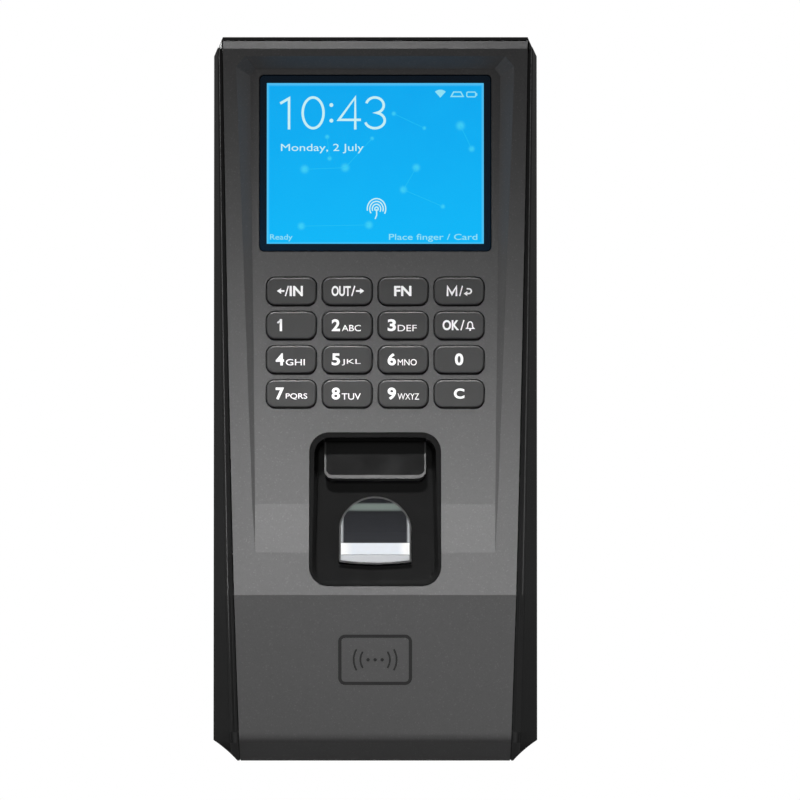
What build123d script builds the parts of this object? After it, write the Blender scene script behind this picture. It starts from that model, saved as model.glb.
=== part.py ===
"""Wall-mounted fingerprint terminal: case, screen, keypad, finger bay, boards and wall plate.

Millimetres, +Z up. The front faces -Y, the wall is the plane y = 0 and z = 0 is half-way up the wall plate.
"""

import math
import os

from build123d import *

os.makedirs("parts", exist_ok=True)

# Driving dimensions: the outer shape.
HEIGHT = 180.0
TOP = HEIGHT / 2
BOTTOM = -HEIGHT / 2
HALF_WIDTH = 40.35  # at the widest line of the side frame
REAR_HALF_WIDTH = 39.2
REAR_GAP = 0.6  # between the frame's rear edge and the wall
DEEP = 60.0  # longer than the terminal is deep, for cuts that go right through

# Driving dimensions: the front surface, from its top edge down to the nose, the chin and the underside.
PANEL_TOP_Z = 89.0
PANEL_TOP_Y = -28.2
RIM_TOP_Z = 87.0
RIM_TOP_Y = -30.0
NOSE_Z = -48.4
NOSE_Y = -39.5
CHIN_Z = -82.5
CHIN_Y = -34.6
UNDER_Z = -85.2
UNDER_Y = -33.2
UNDER_END_Y = -26.4
SKIN = 2.4  # wall of the front panel
GROOVE = 0.3  # shadow gap around the front panel
PANEL_HALF_TOP = 37.9
PANEL_HALF_MIDDLE = 36.1
PANEL_HALF_BOTTOM = 33.5
RIM_RADIUS = (RIM_TOP_Z - NOSE_Z) ** 2 / (2 * (RIM_TOP_Y - NOSE_Y))

# Driving dimensions: the sunk face that holds the screen and the keys.
RECESS_TOP_Z = 82.1
RECESS_CORNER_Z = 80.4
RECESS_END_Z = -26.0
RECESS_FADE_Z = -38.0
RECESS_HALF_TOP = 31.1
RECESS_HALF_CORNER = 29.7
RECESS_HALF_END = 29.7
RECESS_SLOPE = 1.13  # sideways run of its walls for each mm of depth
RECESS_TOP_SLOPE = 1.03  # upward run of its top wall for each mm of depth
RECESS_CORNER_SLOPE = 1.33  # outward run of its two cut corners for each mm of depth
RECESS_TOP_DEPTH = 3.0
RECESS_END_DEPTH = 0.6
RECESS_REACH = 5.0  # how far the cuts for it reach in front of its floor

# Driving dimensions: screen, keys and finger bay.
LENS_WIDTH = 57.5
LENS_HEIGHT = 43.9
LENS_Z = 58.65
KEY_WIDTH = 12.3
KEY_HEIGHT = 6.9
KEY_PITCH_X = 13.87
KEY_PITCH_Z = 8.53
KEYS_Z = 14.0
BAY_WIDTH = 32.4
BAY_HEIGHT = 37.7
BAY_Z = -27.25
BAY_RADIUS = 4.7
BAY_SLOPE = 0.186  # rise of the bay's floor towards the front for each mm downwards

# Driving dimensions: boards, rear cover and wall plate, as distances in front of the wall.
PLATE_THICKNESS = 1.6
COVER_REAR_Y = -6.4
COVER_FRONT_Y = -8.4
BOARD_REAR_Y = -15.0
BOARD_FRONT_Y = -16.6
FIT = 0.15  # clearance around fitted parts


def rim_y(z):
    """Front of the rim at a height, a shallow concave curve."""
    return RIM_TOP_Y - (RIM_TOP_Z - z) ** 2 / (2 * RIM_RADIUS)


def recess_depth(z):
    """Depth of the sunk face below the rim, which fades out downwards."""
    share = (z - RECESS_END_Z) / (RECESS_CORNER_Z - RECESS_END_Z)
    return RECESS_END_DEPTH + share * (RECESS_TOP_DEPTH - RECESS_END_DEPTH)


def floor_y(z):
    """Front of the sunk face at a height."""
    return rim_y(z) + recess_depth(z)


def floor_slope(z):
    """How far the sunk face goes back for each mm of height."""
    return floor_y(z + 0.5) - floor_y(z - 0.5)


def recess_half(z):
    """Half-width of the sunk face's flat part."""
    share = (z - RECESS_END_Z) / (RECESS_CORNER_Z - RECESS_END_Z)
    return RECESS_HALF_END + share * (RECESS_HALF_TOP - RECESS_HALF_END)


def panel_half(z):
    """Half-width of the front panel, a slightly bowed taper."""
    share = (z - BOTTOM) / HEIGHT
    straight = PANEL_HALF_BOTTOM + share * (PANEL_HALF_TOP - PANEL_HALF_BOTTOM)
    bow = PANEL_HALF_MIDDLE - (PANEL_HALF_TOP + PANEL_HALF_BOTTOM) / 2
    return straight + 4 * bow * share * (1 - share)


def front_y(z):
    """Front of the side frame at a height: rim, chin or underside."""
    if z >= NOSE_Z:
        return rim_y(z)
    if z >= CHIN_Z:
        return NOSE_Y + (CHIN_Y - NOSE_Y) * (NOSE_Z - z) / (NOSE_Z - CHIN_Z)
    if z >= UNDER_Z:
        return CHIN_Y + (UNDER_Y - CHIN_Y) * (CHIN_Z - z) / (CHIN_Z - UNDER_Z)
    return UNDER_Y + (UNDER_END_Y - UNDER_Y) * (UNDER_Z - z) / (UNDER_Z - BOTTOM)


def facing(z, y, slope):
    """A plane through (0, y, z) that faces forward and leans back by a slope, with its own Y pointing up."""
    angle = math.atan(slope)
    return Plane(origin=(0, y, z), x_dir=(1, 0, 0), z_dir=(0, -math.cos(angle), math.sin(angle)))


def bay_floor_y(z):
    """Front of the finger bay's floor."""
    return -29.8 + (z - BAY_Z) * BAY_SLOPE


def finish_part(part, name):
    """Names a finished piece and writes it."""
    part.label = name
    export_step(part, f"parts/{name}.step")


MID_Z = (RIM_TOP_Z + NOSE_Z) / 2
screen_plane = facing(LENS_Z, floor_y(LENS_Z), floor_slope(LENS_Z))
keys_plane = facing(KEYS_Z, floor_y(KEYS_Z), floor_slope(KEYS_Z))
bay_plane = facing(BAY_Z, bay_floor_y(BAY_Z), BAY_SLOPE)
CHIN_SLOPE = (NOSE_Y - CHIN_Y) / (NOSE_Z - CHIN_Z)
CARD_Z = -64.5
card_plane = facing(CARD_Z, front_y(CARD_Z), CHIN_SLOPE)
FRONTAL = Plane.XZ  # its own Y is up and it faces the viewer

# Screw posts: centres in x and z for the first two, else across and up on their own plane.
CASE_POSTS = [(-32.4, 81.6), (32.4, 81.6), (-27.5, -76.0), (27.5, -76.0)]
BOARD_POSTS = [(-32.6, 72.0), (32.6, 72.0), (-27.0, -56.0), (27.0, -56.0)]
KEYPAD_POSTS = [(-29.5, -16.8), (29.5, -16.8), (-29.5, 16.8), (29.5, 16.8)]
SENSOR_POSTS = [(-20.8, -13.0), (20.8, -13.0), (-20.8, 13.0), (20.8, 13.0)]
CARD_POSTS = [(-21.3, 0.0), (21.3, 0.0)]
POST_RADIUS = 2.5
SMALL_POST_RADIUS = 1.7
SMALL_SHANK = 0.9
CASE_SHANK = 1.3
SHANK_FIT = 0.05
SMALL_SCREW_LENGTH = 4.2
CASE_SCREW_LENGTH = 10.0

# Depths behind the front surface, each measured square to its own plane.
LENS_THICKNESS = 1.2
LENS_SEAT = 1.5
LCD_FRONT = 2.6
LCD_REAR = 7.2
LCD_WIDTH = 58.4
LCD_HEIGHT = 46.2
VIEW_WIDTH = 54.0
VIEW_HEIGHT = 40.2
KEY_PROUD = 0.75
KEY_GAP = 0.25
KEY_FLANGE_TOP = 2.6
KEY_FLANGE_BOTTOM = 3.3
KEY_FOOT = 4.0
MAT_TOP = 5.6
MAT_DOME = 0.65
KEYPAD_BOARD_TOP = 6.4
KEYPAD_BOARD_BOTTOM = 8.0
BAY_WALL = 1.6
SENSOR_LIFT = 1.4
SENSOR_FLANGE_TOP = 5.0
SENSOR_FLANGE_BOTTOM = 6.5
SENSOR_CASE_END = 8.5
SENSOR_BOARD_END = 10.1
CARD_BOARD_TOP = 4.4
CARD_BOARD_BOTTOM = 5.4

# Sensor outline on the bay's floor plane: across, and up from the bay's centre.
ARCH_HALF = 8.95
ARCH_PEAK = 2.85
ARCH_SPRING = -4.45
ARCH_BAR_TOP = -8.85
ARCH_LIP_TOP = -11.75
ARCH_CORNER = -13.6
ARCH_BOTTOM = -14.2
ARCH_WALL = 0.4

# Parts that stand on the rear side of the main board: centres in x and z.
SPEAKER_SPOT = (-15.0, 56.0)
BATTERY_SPOT = (17.5, 57.0)
TAMPER_SPOT = (0.0, 34.0)
RELAY_SPOT = (20.0, 29.0)
SOCKET_X = -14.0
SOCKET_TOP_Z = -3.0
SOCKET_BOTTOM_Z = -24.0
SOCKET_WIDTH = 16.0
SOCKET_REAR_Y = -1.9
TERMINAL_COUNT = 10
TERMINAL_PITCH = 3.81
TERMINAL_Z = -55.5
USB_X = 14.0
USB_Y = -12.05
USB_MOUTH_Z = -88.0
LOCK_Y = -4.0
HOOK_X = 22.0
HOOK_LEVELS = (70.0, -68.0)
PLATE_HOLE_X = 54.0
PLATE_HOLE_Z = 104.0
PLATE_HOLE_RADIUS = 2.2
BOX_HOLE_X = 60.3
BOX_HOLE_RADIUS = 2.0


# ---------------------------------------------------------------- shapes used for cutting

def recess_section(z, inner, back):
    """Level section of the hollow in front of the sunk face, wider towards the front."""
    outer = inner + RECESS_REACH * RECESS_SLOPE
    with BuildSketch(Plane.XY.offset(z)) as section:
        with BuildLine():
            Polyline(
                (-inner, back),
                (inner, back),
                (outer, back - RECESS_REACH),
                (-outer, back - RECESS_REACH),
                close=True,
            )
        make_face()
    return section.sketch


RECESS_LEVELS = (RECESS_END_Z, -5.0, 15.0, 35.0, 57.0, RECESS_CORNER_Z)
with BuildPart() as recess_sides:
    loft(sections=[recess_section(z, recess_half(z), floor_y(z)) for z in RECESS_LEVELS])

with BuildPart() as recess_fade:
    loft(
        sections=[
            recess_section(RECESS_END_Z, RECESS_HALF_END, floor_y(RECESS_END_Z)),
            recess_section(RECESS_FADE_Z, RECESS_HALF_END, rim_y(RECESS_FADE_Z)),
        ],
        ruled=True,
    )

CORNER_BACK = floor_y(RECESS_CORNER_Z)
CORNER_RISE = RECESS_TOP_Z - RECESS_CORNER_Z
CORNER_RUN = RECESS_HALF_TOP - RECESS_HALF_CORNER
with BuildPart() as recess_top:
    with BuildSketch(FRONTAL.offset(-CORNER_BACK)):
        with Locations((0, RECESS_CORNER_Z)):
            Rectangle(
                2 * (RECESS_HALF_TOP + RECESS_REACH * RECESS_SLOPE),
                2 * RECESS_REACH,
                align=(Align.CENTER, Align.MIN),
            )
    extrude(amount=RECESS_REACH)
    for side in (-1, 1):
        corner = (side * RECESS_HALF_TOP, CORNER_BACK, RECESS_CORNER_Z)
        lean = RECESS_CORNER_SLOPE * math.hypot(CORNER_RISE, CORNER_RUN)
        split(bisect_by=Plane(origin=corner, z_dir=(side, RECESS_SLOPE, 0)), keep=Keep.BOTTOM)
        split(
            bisect_by=Plane(origin=corner, z_dir=(side * CORNER_RISE, lean, CORNER_RUN)),
            keep=Keep.BOTTOM,
        )
    split(
        bisect_by=Plane(origin=(0, CORNER_BACK, RECESS_TOP_Z), z_dir=(0, RECESS_TOP_SLOPE, 1)),
        keep=Keep.BOTTOM,
    )

# ---------------------------------------------------------------- front panel


def bowed_outline(low, high, grown):
    """The front panel's outline between two heights, grown sideways, in the current line builder."""
    foot = panel_half(low) + grown
    middle = panel_half(0) + grown
    head = panel_half(high) + grown
    Line((foot, low), (-foot, low))
    ThreePointArc((-foot, low), (-middle, 0), (-head, high))
    Line((-head, high), (head, high))
    ThreePointArc((head, high), (middle, 0), (foot, low))


REAR_NOSE_Y = NOSE_Y + SKIN + 0.1
PAN_TOP = 85.0
PAN_MIDDLE = 24.0
PAN_BOTTOM = -37.0
PAN_HALF = 33.0
with BuildPart() as front_panel:
    with BuildSketch(Plane.YZ):
        with BuildLine():
            Polyline((-24.6, PANEL_TOP_Z), (PANEL_TOP_Y, PANEL_TOP_Z), (RIM_TOP_Y, RIM_TOP_Z))
            ThreePointArc((RIM_TOP_Y, RIM_TOP_Z), (rim_y(MID_Z), MID_Z), (NOSE_Y, NOSE_Z))
            Line((NOSE_Y, NOSE_Z), (CHIN_Y, CHIN_Z))
            ThreePointArc((CHIN_Y, CHIN_Z), (-34.2, -83.95), (UNDER_Y, UNDER_Z))
            Polyline(
                (UNDER_Y, UNDER_Z),
                (UNDER_END_Y, BOTTOM),
                (-22.3, BOTTOM),
                (-31.7, -83.2),
                (-32.2, -82.2),
                (REAR_NOSE_Y, NOSE_Z),
            )
            ThreePointArc(
                (REAR_NOSE_Y, NOSE_Z),
                (rim_y(MID_Z) + SKIN, MID_Z),
                (RIM_TOP_Y + SKIN, 86.0),
            )
            Line((RIM_TOP_Y + SKIN, 86.0), (-24.6, PANEL_TOP_Z))
        make_face()
    extrude(amount=HALF_WIDTH, both=True)
    # The pan behind the sunk face.
    with BuildSketch(Plane.YZ):
        with BuildLine():
            ThreePointArc(
                (rim_y(PAN_TOP) + 1.0, PAN_TOP),
                (rim_y(PAN_MIDDLE) + 1.0, PAN_MIDDLE),
                (rim_y(PAN_BOTTOM - 2.0) + 1.0, PAN_BOTTOM - 2.0),
            )
            Line(
                (rim_y(PAN_BOTTOM - 2.0) + 1.0, PAN_BOTTOM - 2.0),
                (floor_y(PAN_BOTTOM) + SKIN, PAN_BOTTOM),
            )
            ThreePointArc(
                (floor_y(PAN_BOTTOM) + SKIN, PAN_BOTTOM),
                (floor_y(PAN_MIDDLE) + SKIN, PAN_MIDDLE),
                (floor_y(PAN_TOP) + SKIN, PAN_TOP),
            )
            Line((floor_y(PAN_TOP) + SKIN, PAN_TOP), (rim_y(PAN_TOP) + 1.0, PAN_TOP))
        make_face()
    extrude(amount=PAN_HALF, both=True)
    with BuildSketch(FRONTAL):
        with BuildLine():
            bowed_outline(BOTTOM, PANEL_TOP_Z, 0)
        make_face()
    extrude(amount=DEEP, mode=Mode.INTERSECT)
    add(recess_sides.part, mode=Mode.SUBTRACT)
    add(recess_top.part, mode=Mode.SUBTRACT)
    add(recess_fade.part, mode=Mode.SUBTRACT)

    # Screw posts.
    for points, start, stop in (
        (CASE_POSTS[:2], -COVER_FRONT_Y + 0.1, 26.0),
        (CASE_POSTS[2:], -COVER_FRONT_Y + 0.1, 34.0),
        (BOARD_POSTS[:2], -BOARD_FRONT_Y, 26.2),
        (BOARD_POSTS[2:], -BOARD_FRONT_Y, 37.0),
    ):
        with BuildSketch(FRONTAL.offset(start)):
            with Locations(*points):
                Circle(POST_RADIUS)
        extrude(amount=stop - start)
    for plane, points, start, stop in (
        (keys_plane, KEYPAD_POSTS, KEYPAD_BOARD_TOP, 1.5),
        (bay_plane, SENSOR_POSTS, SENSOR_FLANGE_TOP, -4.6),
        (card_plane, CARD_POSTS, CARD_BOARD_TOP, 1.5),
    ):
        with BuildSketch(plane.offset(-start)):
            with Locations(*points):
                Circle(SMALL_POST_RADIUS)
        extrude(amount=start - stop)
    for plane, points, start, depth in (
        (FRONTAL, BOARD_POSTS, -BOARD_FRONT_Y, 3.2),
        (keys_plane, KEYPAD_POSTS, -KEYPAD_BOARD_TOP, 3.2),
        (bay_plane, SENSOR_POSTS, -SENSOR_FLANGE_TOP, 3.4),
        (card_plane, CARD_POSTS, -CARD_BOARD_TOP, 3.4),
    ):
        with BuildSketch(plane.offset(start)):
            with Locations(*points):
                Circle(SMALL_SHANK + SHANK_FIT)
        extrude(amount=depth, mode=Mode.SUBTRACT)
    with BuildSketch(FRONTAL.offset(-COVER_FRONT_Y)):
        with Locations(*CASE_POSTS):
            Circle(CASE_SHANK + SHANK_FIT)
    extrude(amount=CASE_SCREW_LENGTH + 1.0, mode=Mode.SUBTRACT)
    # Seat and window of the screen lens.
    with BuildSketch(screen_plane.offset(-LENS_SEAT)):
        RectangleRounded(LENS_WIDTH + 2 * FIT, LENS_HEIGHT + 2 * FIT, 1.2)
    extrude(amount=LENS_SEAT + 1.0, mode=Mode.SUBTRACT)
    with BuildSketch(screen_plane.offset(-LCD_REAR)):
        RectangleRounded(VIEW_WIDTH + 0.6, VIEW_HEIGHT + 0.6, 0.8)
    extrude(amount=LCD_REAR, mode=Mode.SUBTRACT)
    # Openings for the keys and the finger bay.
    with BuildSketch(keys_plane.offset(-MAT_TOP)):
        with GridLocations(KEY_PITCH_X, KEY_PITCH_Z, 4, 4):
            RectangleRounded(KEY_WIDTH + 2 * KEY_GAP, KEY_HEIGHT + 2 * KEY_GAP, 2.35)
    extrude(amount=MAT_TOP + 1.0, mode=Mode.SUBTRACT)
    with BuildSketch(FRONTAL):
        with Locations((0, BAY_Z)):
            RectangleRounded(BAY_WIDTH + 2 * FIT, BAY_HEIGHT + 2 * FIT, BAY_RADIUS + FIT)
    extrude(amount=DEEP, mode=Mode.SUBTRACT)
    # The card mark: an engraved frame with three dots and two pairs of arcs.
    with BuildSketch(card_plane.offset(-0.25)):
        RectangleRounded(18.3, 12.7, 1.75)
        RectangleRounded(16.6, 11.0, 0.95, mode=Mode.SUBTRACT)
        with GridLocations(1.75, 1.0, 3, 1):
            Circle(0.45)
        for arc_radius, half_angle in ((3.65, 34.0), (5.3, 30.0)):
            for middle in (0, 180):
                with BuildLine():
                    CenterArc((0, 0), arc_radius, middle - half_angle, 2 * half_angle)
                trace(line_width=0.5)
    extrude(amount=1.0, mode=Mode.SUBTRACT)
finish_part(front_panel.part, "front_panel")

# ---------------------------------------------------------------- side frame

RIB_TOP_WIDTH = 1.0
RIB_GROWTH = 1.2
WIDEST_TOP_Y = -18.0
WIDEST_GROWTH = 6.0


def frame_section(z):
    """Level section of the side frame's outer shape, with a rounded rib beside the front panel."""
    share = (TOP - z) / HEIGHT
    front = front_y(z)
    edge = panel_half(z) + GROOVE
    inner = edge - 0.5  # the rounding starts inside the part that is cut away for the panel
    rib = RIB_TOP_WIDTH + RIB_GROWTH * share
    widest_y = WIDEST_TOP_Y - WIDEST_GROWTH * share
    with BuildSketch(Plane.XY.offset(z)) as section:
        with BuildLine():
            Line((-inner, front + 0.4), (inner, front + 0.4))
            ThreePointArc(
                (inner, front + 0.4), (edge + 0.4 * rib, front - 0.15), (edge + rib, front + 0.7)
            )
            Polyline(
                (edge + rib, front + 0.7),
                (HALF_WIDTH, widest_y),
                (REAR_HALF_WIDTH, -REAR_GAP),
                (-REAR_HALF_WIDTH, -REAR_GAP),
                (-HALF_WIDTH, widest_y),
                (-edge - rib, front + 0.7),
            )
            ThreePointArc(
                (-edge - rib, front + 0.7), (-edge - 0.4 * rib, front - 0.15), (-inner, front + 0.4)
            )
        make_face()
    return section.sketch


def cut_corner_outline(half, low, high, low_cut, high_cut):
    """A closed upright outline with cut corners, drawn in the current line builder."""
    return Polyline(
        (half, low + low_cut),
        (half, high - high_cut),
        (half - high_cut, high),
        (-half + high_cut, high),
        (-half, high - high_cut),
        (-half, low + low_cut),
        (-half + low_cut, low),
        (half - low_cut, low),
        close=True,
    )


with BuildPart() as panel_space:
    with BuildSketch(Plane.YZ):
        with BuildLine():
            Polyline(
                (-DEEP, BOTTOM - 1.0),
                (-DEEP, TOP),
                (-24.55, TOP),
                (-24.55, PANEL_TOP_Z),
                (RIM_TOP_Y + SKIN + 0.05, 86.0),
            )
            ThreePointArc(
                (RIM_TOP_Y + SKIN + 0.05, 86.0),
                (rim_y(MID_Z) + SKIN + 0.05, MID_Z),
                (REAR_NOSE_Y + 0.05, NOSE_Z),
            )
            Polyline(
                (REAR_NOSE_Y + 0.05, NOSE_Z),
                (-32.15, -82.2),
                (-31.65, -83.15),
                (-22.2, BOTTOM),
                (-22.2, BOTTOM - 1.0),
                (-DEEP, BOTTOM - 1.0),
            )
        make_face()
    extrude(amount=HALF_WIDTH, both=True)
    with BuildSketch(FRONTAL):
        with BuildLine():
            bowed_outline(BOTTOM - 1.0, PANEL_TOP_Z + GROOVE, GROOVE)
        make_face()
    extrude(amount=DEEP, mode=Mode.INTERSECT)

FOOT_HALF = 34.3
LEDGE = 1.7
HALL_TOP = 85.4
HALL_BOTTOM = -84.0
with BuildPart() as side_frame:
    loft(sections=[frame_section(z) for z in (NOSE_Z, -20.0, 10.0, 40.0, 65.0, TOP)])
    loft(sections=[frame_section(z) for z in (BOTTOM, UNDER_Z, CHIN_Z, NOSE_Z)], ruled=True)
    # The front silhouette: cut top corners and hollowed bottom corners.
    with BuildSketch(FRONTAL):
        with BuildLine():
            Line((FOOT_HALF, BOTTOM), (-FOOT_HALF, BOTTOM))
            ThreePointArc((-FOOT_HALF, BOTTOM), (-36.9, -87.3), (-HALF_WIDTH, -85.0))
            Polyline(
                (-HALF_WIDTH, -85.0),
                (-HALF_WIDTH, 85.7),
                (-38.9, 87.5),
                (-37.9, TOP),
                (37.9, TOP),
                (38.9, 87.5),
                (HALF_WIDTH, 85.7),
                (HALF_WIDTH, -85.0),
            )
            ThreePointArc((HALF_WIDTH, -85.0), (36.9, -87.3), (FOOT_HALF, BOTTOM))
        make_face()
    extrude(amount=DEEP, mode=Mode.INTERSECT)
    # The top edge leans back with the bevel of the front panel.
    with BuildSketch(Plane.YZ):
        with BuildLine():
            Polyline(
                (RIM_TOP_Y - 0.3, RIM_TOP_Z - 0.1),
                (PANEL_TOP_Y, PANEL_TOP_Z),
                (-27.4, TOP + 0.1),
                (-DEEP, TOP + 0.1),
                (-DEEP, RIM_TOP_Z - 0.1),
                close=True,
            )
        make_face()
    extrude(amount=DEEP, both=True, mode=Mode.SUBTRACT)
    # The hall that the boards lie in, then the wider rear part and the seat of the rear cover.
    with BuildSketch(FRONTAL):
        with BuildLine():
            bowed_outline(HALL_BOTTOM, HALL_TOP, -LEDGE)
        make_face()
    extrude(amount=DEEP, mode=Mode.SUBTRACT)
    with BuildSketch(FRONTAL):
        with BuildLine():
            cut_corner_outline(37.2, -84.5, 87.2, 7.0, 2.5)
        make_face()
    extrude(amount=22.0, mode=Mode.SUBTRACT)
    with BuildSketch(FRONTAL):
        with BuildLine():
            cut_corner_outline(38.0, -86.2, 88.0, 4.0, 2.5)
        make_face()
    extrude(amount=-COVER_FRONT_Y + 0.05, mode=Mode.SUBTRACT)
    # Locking screw and USB opening in the underside, with the cover's recess around the latter.
    with BuildSketch(Plane.XY.offset(BOTTOM)):
        with Locations((0, LOCK_Y)):
            Circle(1.7)
        with Locations((USB_X, USB_Y)):
            Rectangle(13.8, 6.4)
    extrude(amount=6.0, mode=Mode.SUBTRACT)
    with BuildSketch(Plane.XY.offset(BOTTOM)):
        with Locations((0, LOCK_Y)):
            Circle(3.0)
    extrude(amount=2.1, mode=Mode.SUBTRACT)
    with BuildSketch(Plane.XY.offset(BOTTOM)):
        with Locations((USB_X, USB_Y)):
            Rectangle(21.0, 8.6)
    extrude(amount=1.5, mode=Mode.SUBTRACT)
    add(panel_space.part, mode=Mode.SUBTRACT)
finish_part(side_frame.part, "side_frame")

# ---------------------------------------------------------------- rear cover and wall plate

SOCKET_WINDOW = (52.0, 61.0, -32.0)  # width, height and middle height of the opening over the sockets
HOOK_WIDTH = 8.0
with BuildPart() as rear_cover:
    with BuildSketch(FRONTAL.offset(-COVER_REAR_Y)):
        with BuildLine():
            cut_corner_outline(37.7, -85.9, 87.7, 4.0, 2.5)
        make_face()
    extrude(amount=COVER_REAR_Y - COVER_FRONT_Y)
    # Raised ribs on the rear: a border around the socket window and another around the label field.
    with BuildSketch(FRONTAL.offset(-COVER_REAR_Y)):
        with Locations((0, SOCKET_WINDOW[2])):
            Rectangle(SOCKET_WINDOW[0] + 4.0, SOCKET_WINDOW[1] + 4.0)
            Rectangle(SOCKET_WINDOW[0], SOCKET_WINDOW[1], mode=Mode.SUBTRACT)
        with Locations((0, 18.0)):
            Rectangle(56.0, 24.0)
            Rectangle(53.6, 21.6, mode=Mode.SUBTRACT)
        with Locations((-33.4, 0), (33.4, 0)):
            Rectangle(1.2, 140.0)
    extrude(amount=-2.4)
    with BuildSketch(FRONTAL.offset(-COVER_REAR_Y - 3.0)):
        with Locations((0, SOCKET_WINDOW[2])):
            Rectangle(SOCKET_WINDOW[0], SOCKET_WINDOW[1])
        with Locations(*[(side * HOOK_X, level - 0.5) for side in (-1, 1) for level in HOOK_LEVELS]):
            Rectangle(HOOK_WIDTH + 1.0, 7.0, align=(Align.CENTER, Align.MAX))
            Rectangle(HOOK_WIDTH + 1.0, 2.6, align=(Align.CENTER, Align.MIN))
        with Locations(TAMPER_SPOT):
            Circle(2.1)
        with Locations(SPEAKER_SPOT):
            Circle(0.8)
            with PolarLocations(3.6, 6):
                Circle(0.8)
            with PolarLocations(7.2, 12):
                Circle(0.8)
        with Locations(*CASE_POSTS):
            Circle(CASE_SHANK + 0.15)
    extrude(amount=8.0, mode=Mode.SUBTRACT)
    with BuildSketch(FRONTAL.offset(-COVER_REAR_Y - 3.0)):
        with Locations(*CASE_POSTS):
            Circle(2.9)
    extrude(amount=4.0, mode=Mode.SUBTRACT)
finish_part(rear_cover.part, "rear_cover")

PLATE_TOP = 80.0
PLATE_BOTTOM = -80.0
PLATE_HALF = 34.0
CABLE_HOLE = (42.0, 50.0, -32.0)
HOOK_REACH_Y = -10.6
FLANGE_Z = -83.6
with BuildPart() as wall_plate:
    with BuildSketch(FRONTAL):
        with Locations((0, (PLATE_TOP + PLATE_BOTTOM) / 2)):
            RectangleRounded(2 * PLATE_HALF, PLATE_TOP - PLATE_BOTTOM, 5.0)
        with Locations((0, PLATE_BOTTOM + 1.0)):
            Rectangle(12.0, PLATE_BOTTOM + 1.0 - FLANGE_Z, align=(Align.CENTER, Align.MAX))
        with Locations((0, CABLE_HOLE[2])):
            RectangleRounded(CABLE_HOLE[0], CABLE_HOLE[1], 3.0, mode=Mode.SUBTRACT)
        with Locations((0, 18.0)):
            RectangleRounded(30.0, 18.0, 3.0, mode=Mode.SUBTRACT)
        with GridLocations(BOX_HOLE_X, 1.0, 2, 1):
            Circle(BOX_HOLE_RADIUS, mode=Mode.SUBTRACT)
        with Locations(*[(side * HOOK_X, level) for side in (-1, 1) for level in HOOK_LEVELS]):
            Rectangle(HOOK_WIDTH + 1.0, 10.0, align=(Align.CENTER, Align.MAX), mode=Mode.SUBTRACT)
        with GridLocations(PLATE_HOLE_X, PLATE_HOLE_Z, 2, 2):
            Circle(PLATE_HOLE_RADIUS, mode=Mode.SUBTRACT)
    extrude(amount=PLATE_THICKNESS)
    # Hooks folded forward out of the plate, with lips that point up.
    for side in (-1, 1):
        for level in HOOK_LEVELS:
            with BuildSketch(Plane.YZ.offset(side * HOOK_X)):
                with BuildLine():
                    Polyline(
                        (0, level),
                        (0, level + PLATE_THICKNESS),
                        (HOOK_REACH_Y + PLATE_THICKNESS, level + PLATE_THICKNESS),
                        (HOOK_REACH_Y + PLATE_THICKNESS, level + 4.4),
                        (HOOK_REACH_Y, level + 4.4),
                        (HOOK_REACH_Y, level),
                        close=True,
                    )
                make_face()
            extrude(amount=HOOK_WIDTH / 2, both=True)
    # Flange for the locking screw.
    with BuildSketch(Plane.XY.offset(FLANGE_Z - PLATE_THICKNESS)):
        with Locations((0, 0)):
            Rectangle(12.0, 6.1, align=(Align.CENTER, Align.MAX))
        with Locations((0, LOCK_Y)):
            Circle(1.25, mode=Mode.SUBTRACT)
    extrude(amount=PLATE_THICKNESS)
finish_part(wall_plate.part, "wall_plate")

# ---------------------------------------------------------------- screen

with BuildPart() as screen_lens:
    with BuildSketch(screen_plane.offset(-LENS_THICKNESS)):
        RectangleRounded(LENS_WIDTH, LENS_HEIGHT, 1.1)
    extrude(amount=LENS_THICKNESS)
    chamfer(screen_lens.faces().sort_by(Axis.Y)[0].edges(), 0.15)
finish_part(screen_lens.part, "screen_lens")

with BuildPart() as lens_gasket:
    with BuildSketch(screen_plane.offset(-LENS_SEAT)):
        RectangleRounded(LENS_WIDTH, LENS_HEIGHT, 1.1)
        RectangleRounded(VIEW_WIDTH + 0.8, VIEW_HEIGHT + 0.8, 0.8, mode=Mode.SUBTRACT)
    extrude(amount=LENS_SEAT - LENS_THICKNESS)
finish_part(lens_gasket.part, "lens_gasket")

LCD_WALL = 0.9
LCD_GLASS = 1.5
with BuildPart() as lcd_tray:
    with BuildSketch(screen_plane.offset(-LCD_REAR)):
        RectangleRounded(LCD_WIDTH, LCD_HEIGHT, 1.0)
    extrude(amount=LCD_REAR - LCD_FRONT)
    with BuildSketch(screen_plane.offset(-LCD_REAR + LCD_WALL)):
        Rectangle(LCD_WIDTH - 2 * LCD_WALL, LCD_HEIGHT - 2 * LCD_WALL)
    extrude(amount=LCD_REAR, mode=Mode.SUBTRACT)
finish_part(lcd_tray.part, "lcd_tray")

with BuildPart() as lcd_backlight:
    with BuildSketch(screen_plane.offset(-LCD_REAR + LCD_WALL)):
        Rectangle(LCD_WIDTH - 2 * LCD_WALL - 0.3, LCD_HEIGHT - 2 * LCD_WALL - 0.3)
    extrude(amount=LCD_REAR - LCD_FRONT - LCD_WALL - LCD_GLASS - 0.05)
finish_part(lcd_backlight.part, "lcd_backlight")

with BuildPart() as lcd_glass:
    with BuildSketch(screen_plane.offset(-LCD_FRONT - LCD_GLASS)):
        Rectangle(LCD_WIDTH - 2 * LCD_WALL - 0.3, LCD_HEIGHT - 2 * LCD_WALL - 0.3)
    extrude(amount=LCD_GLASS)
finish_part(lcd_glass.part, "lcd_glass")


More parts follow.
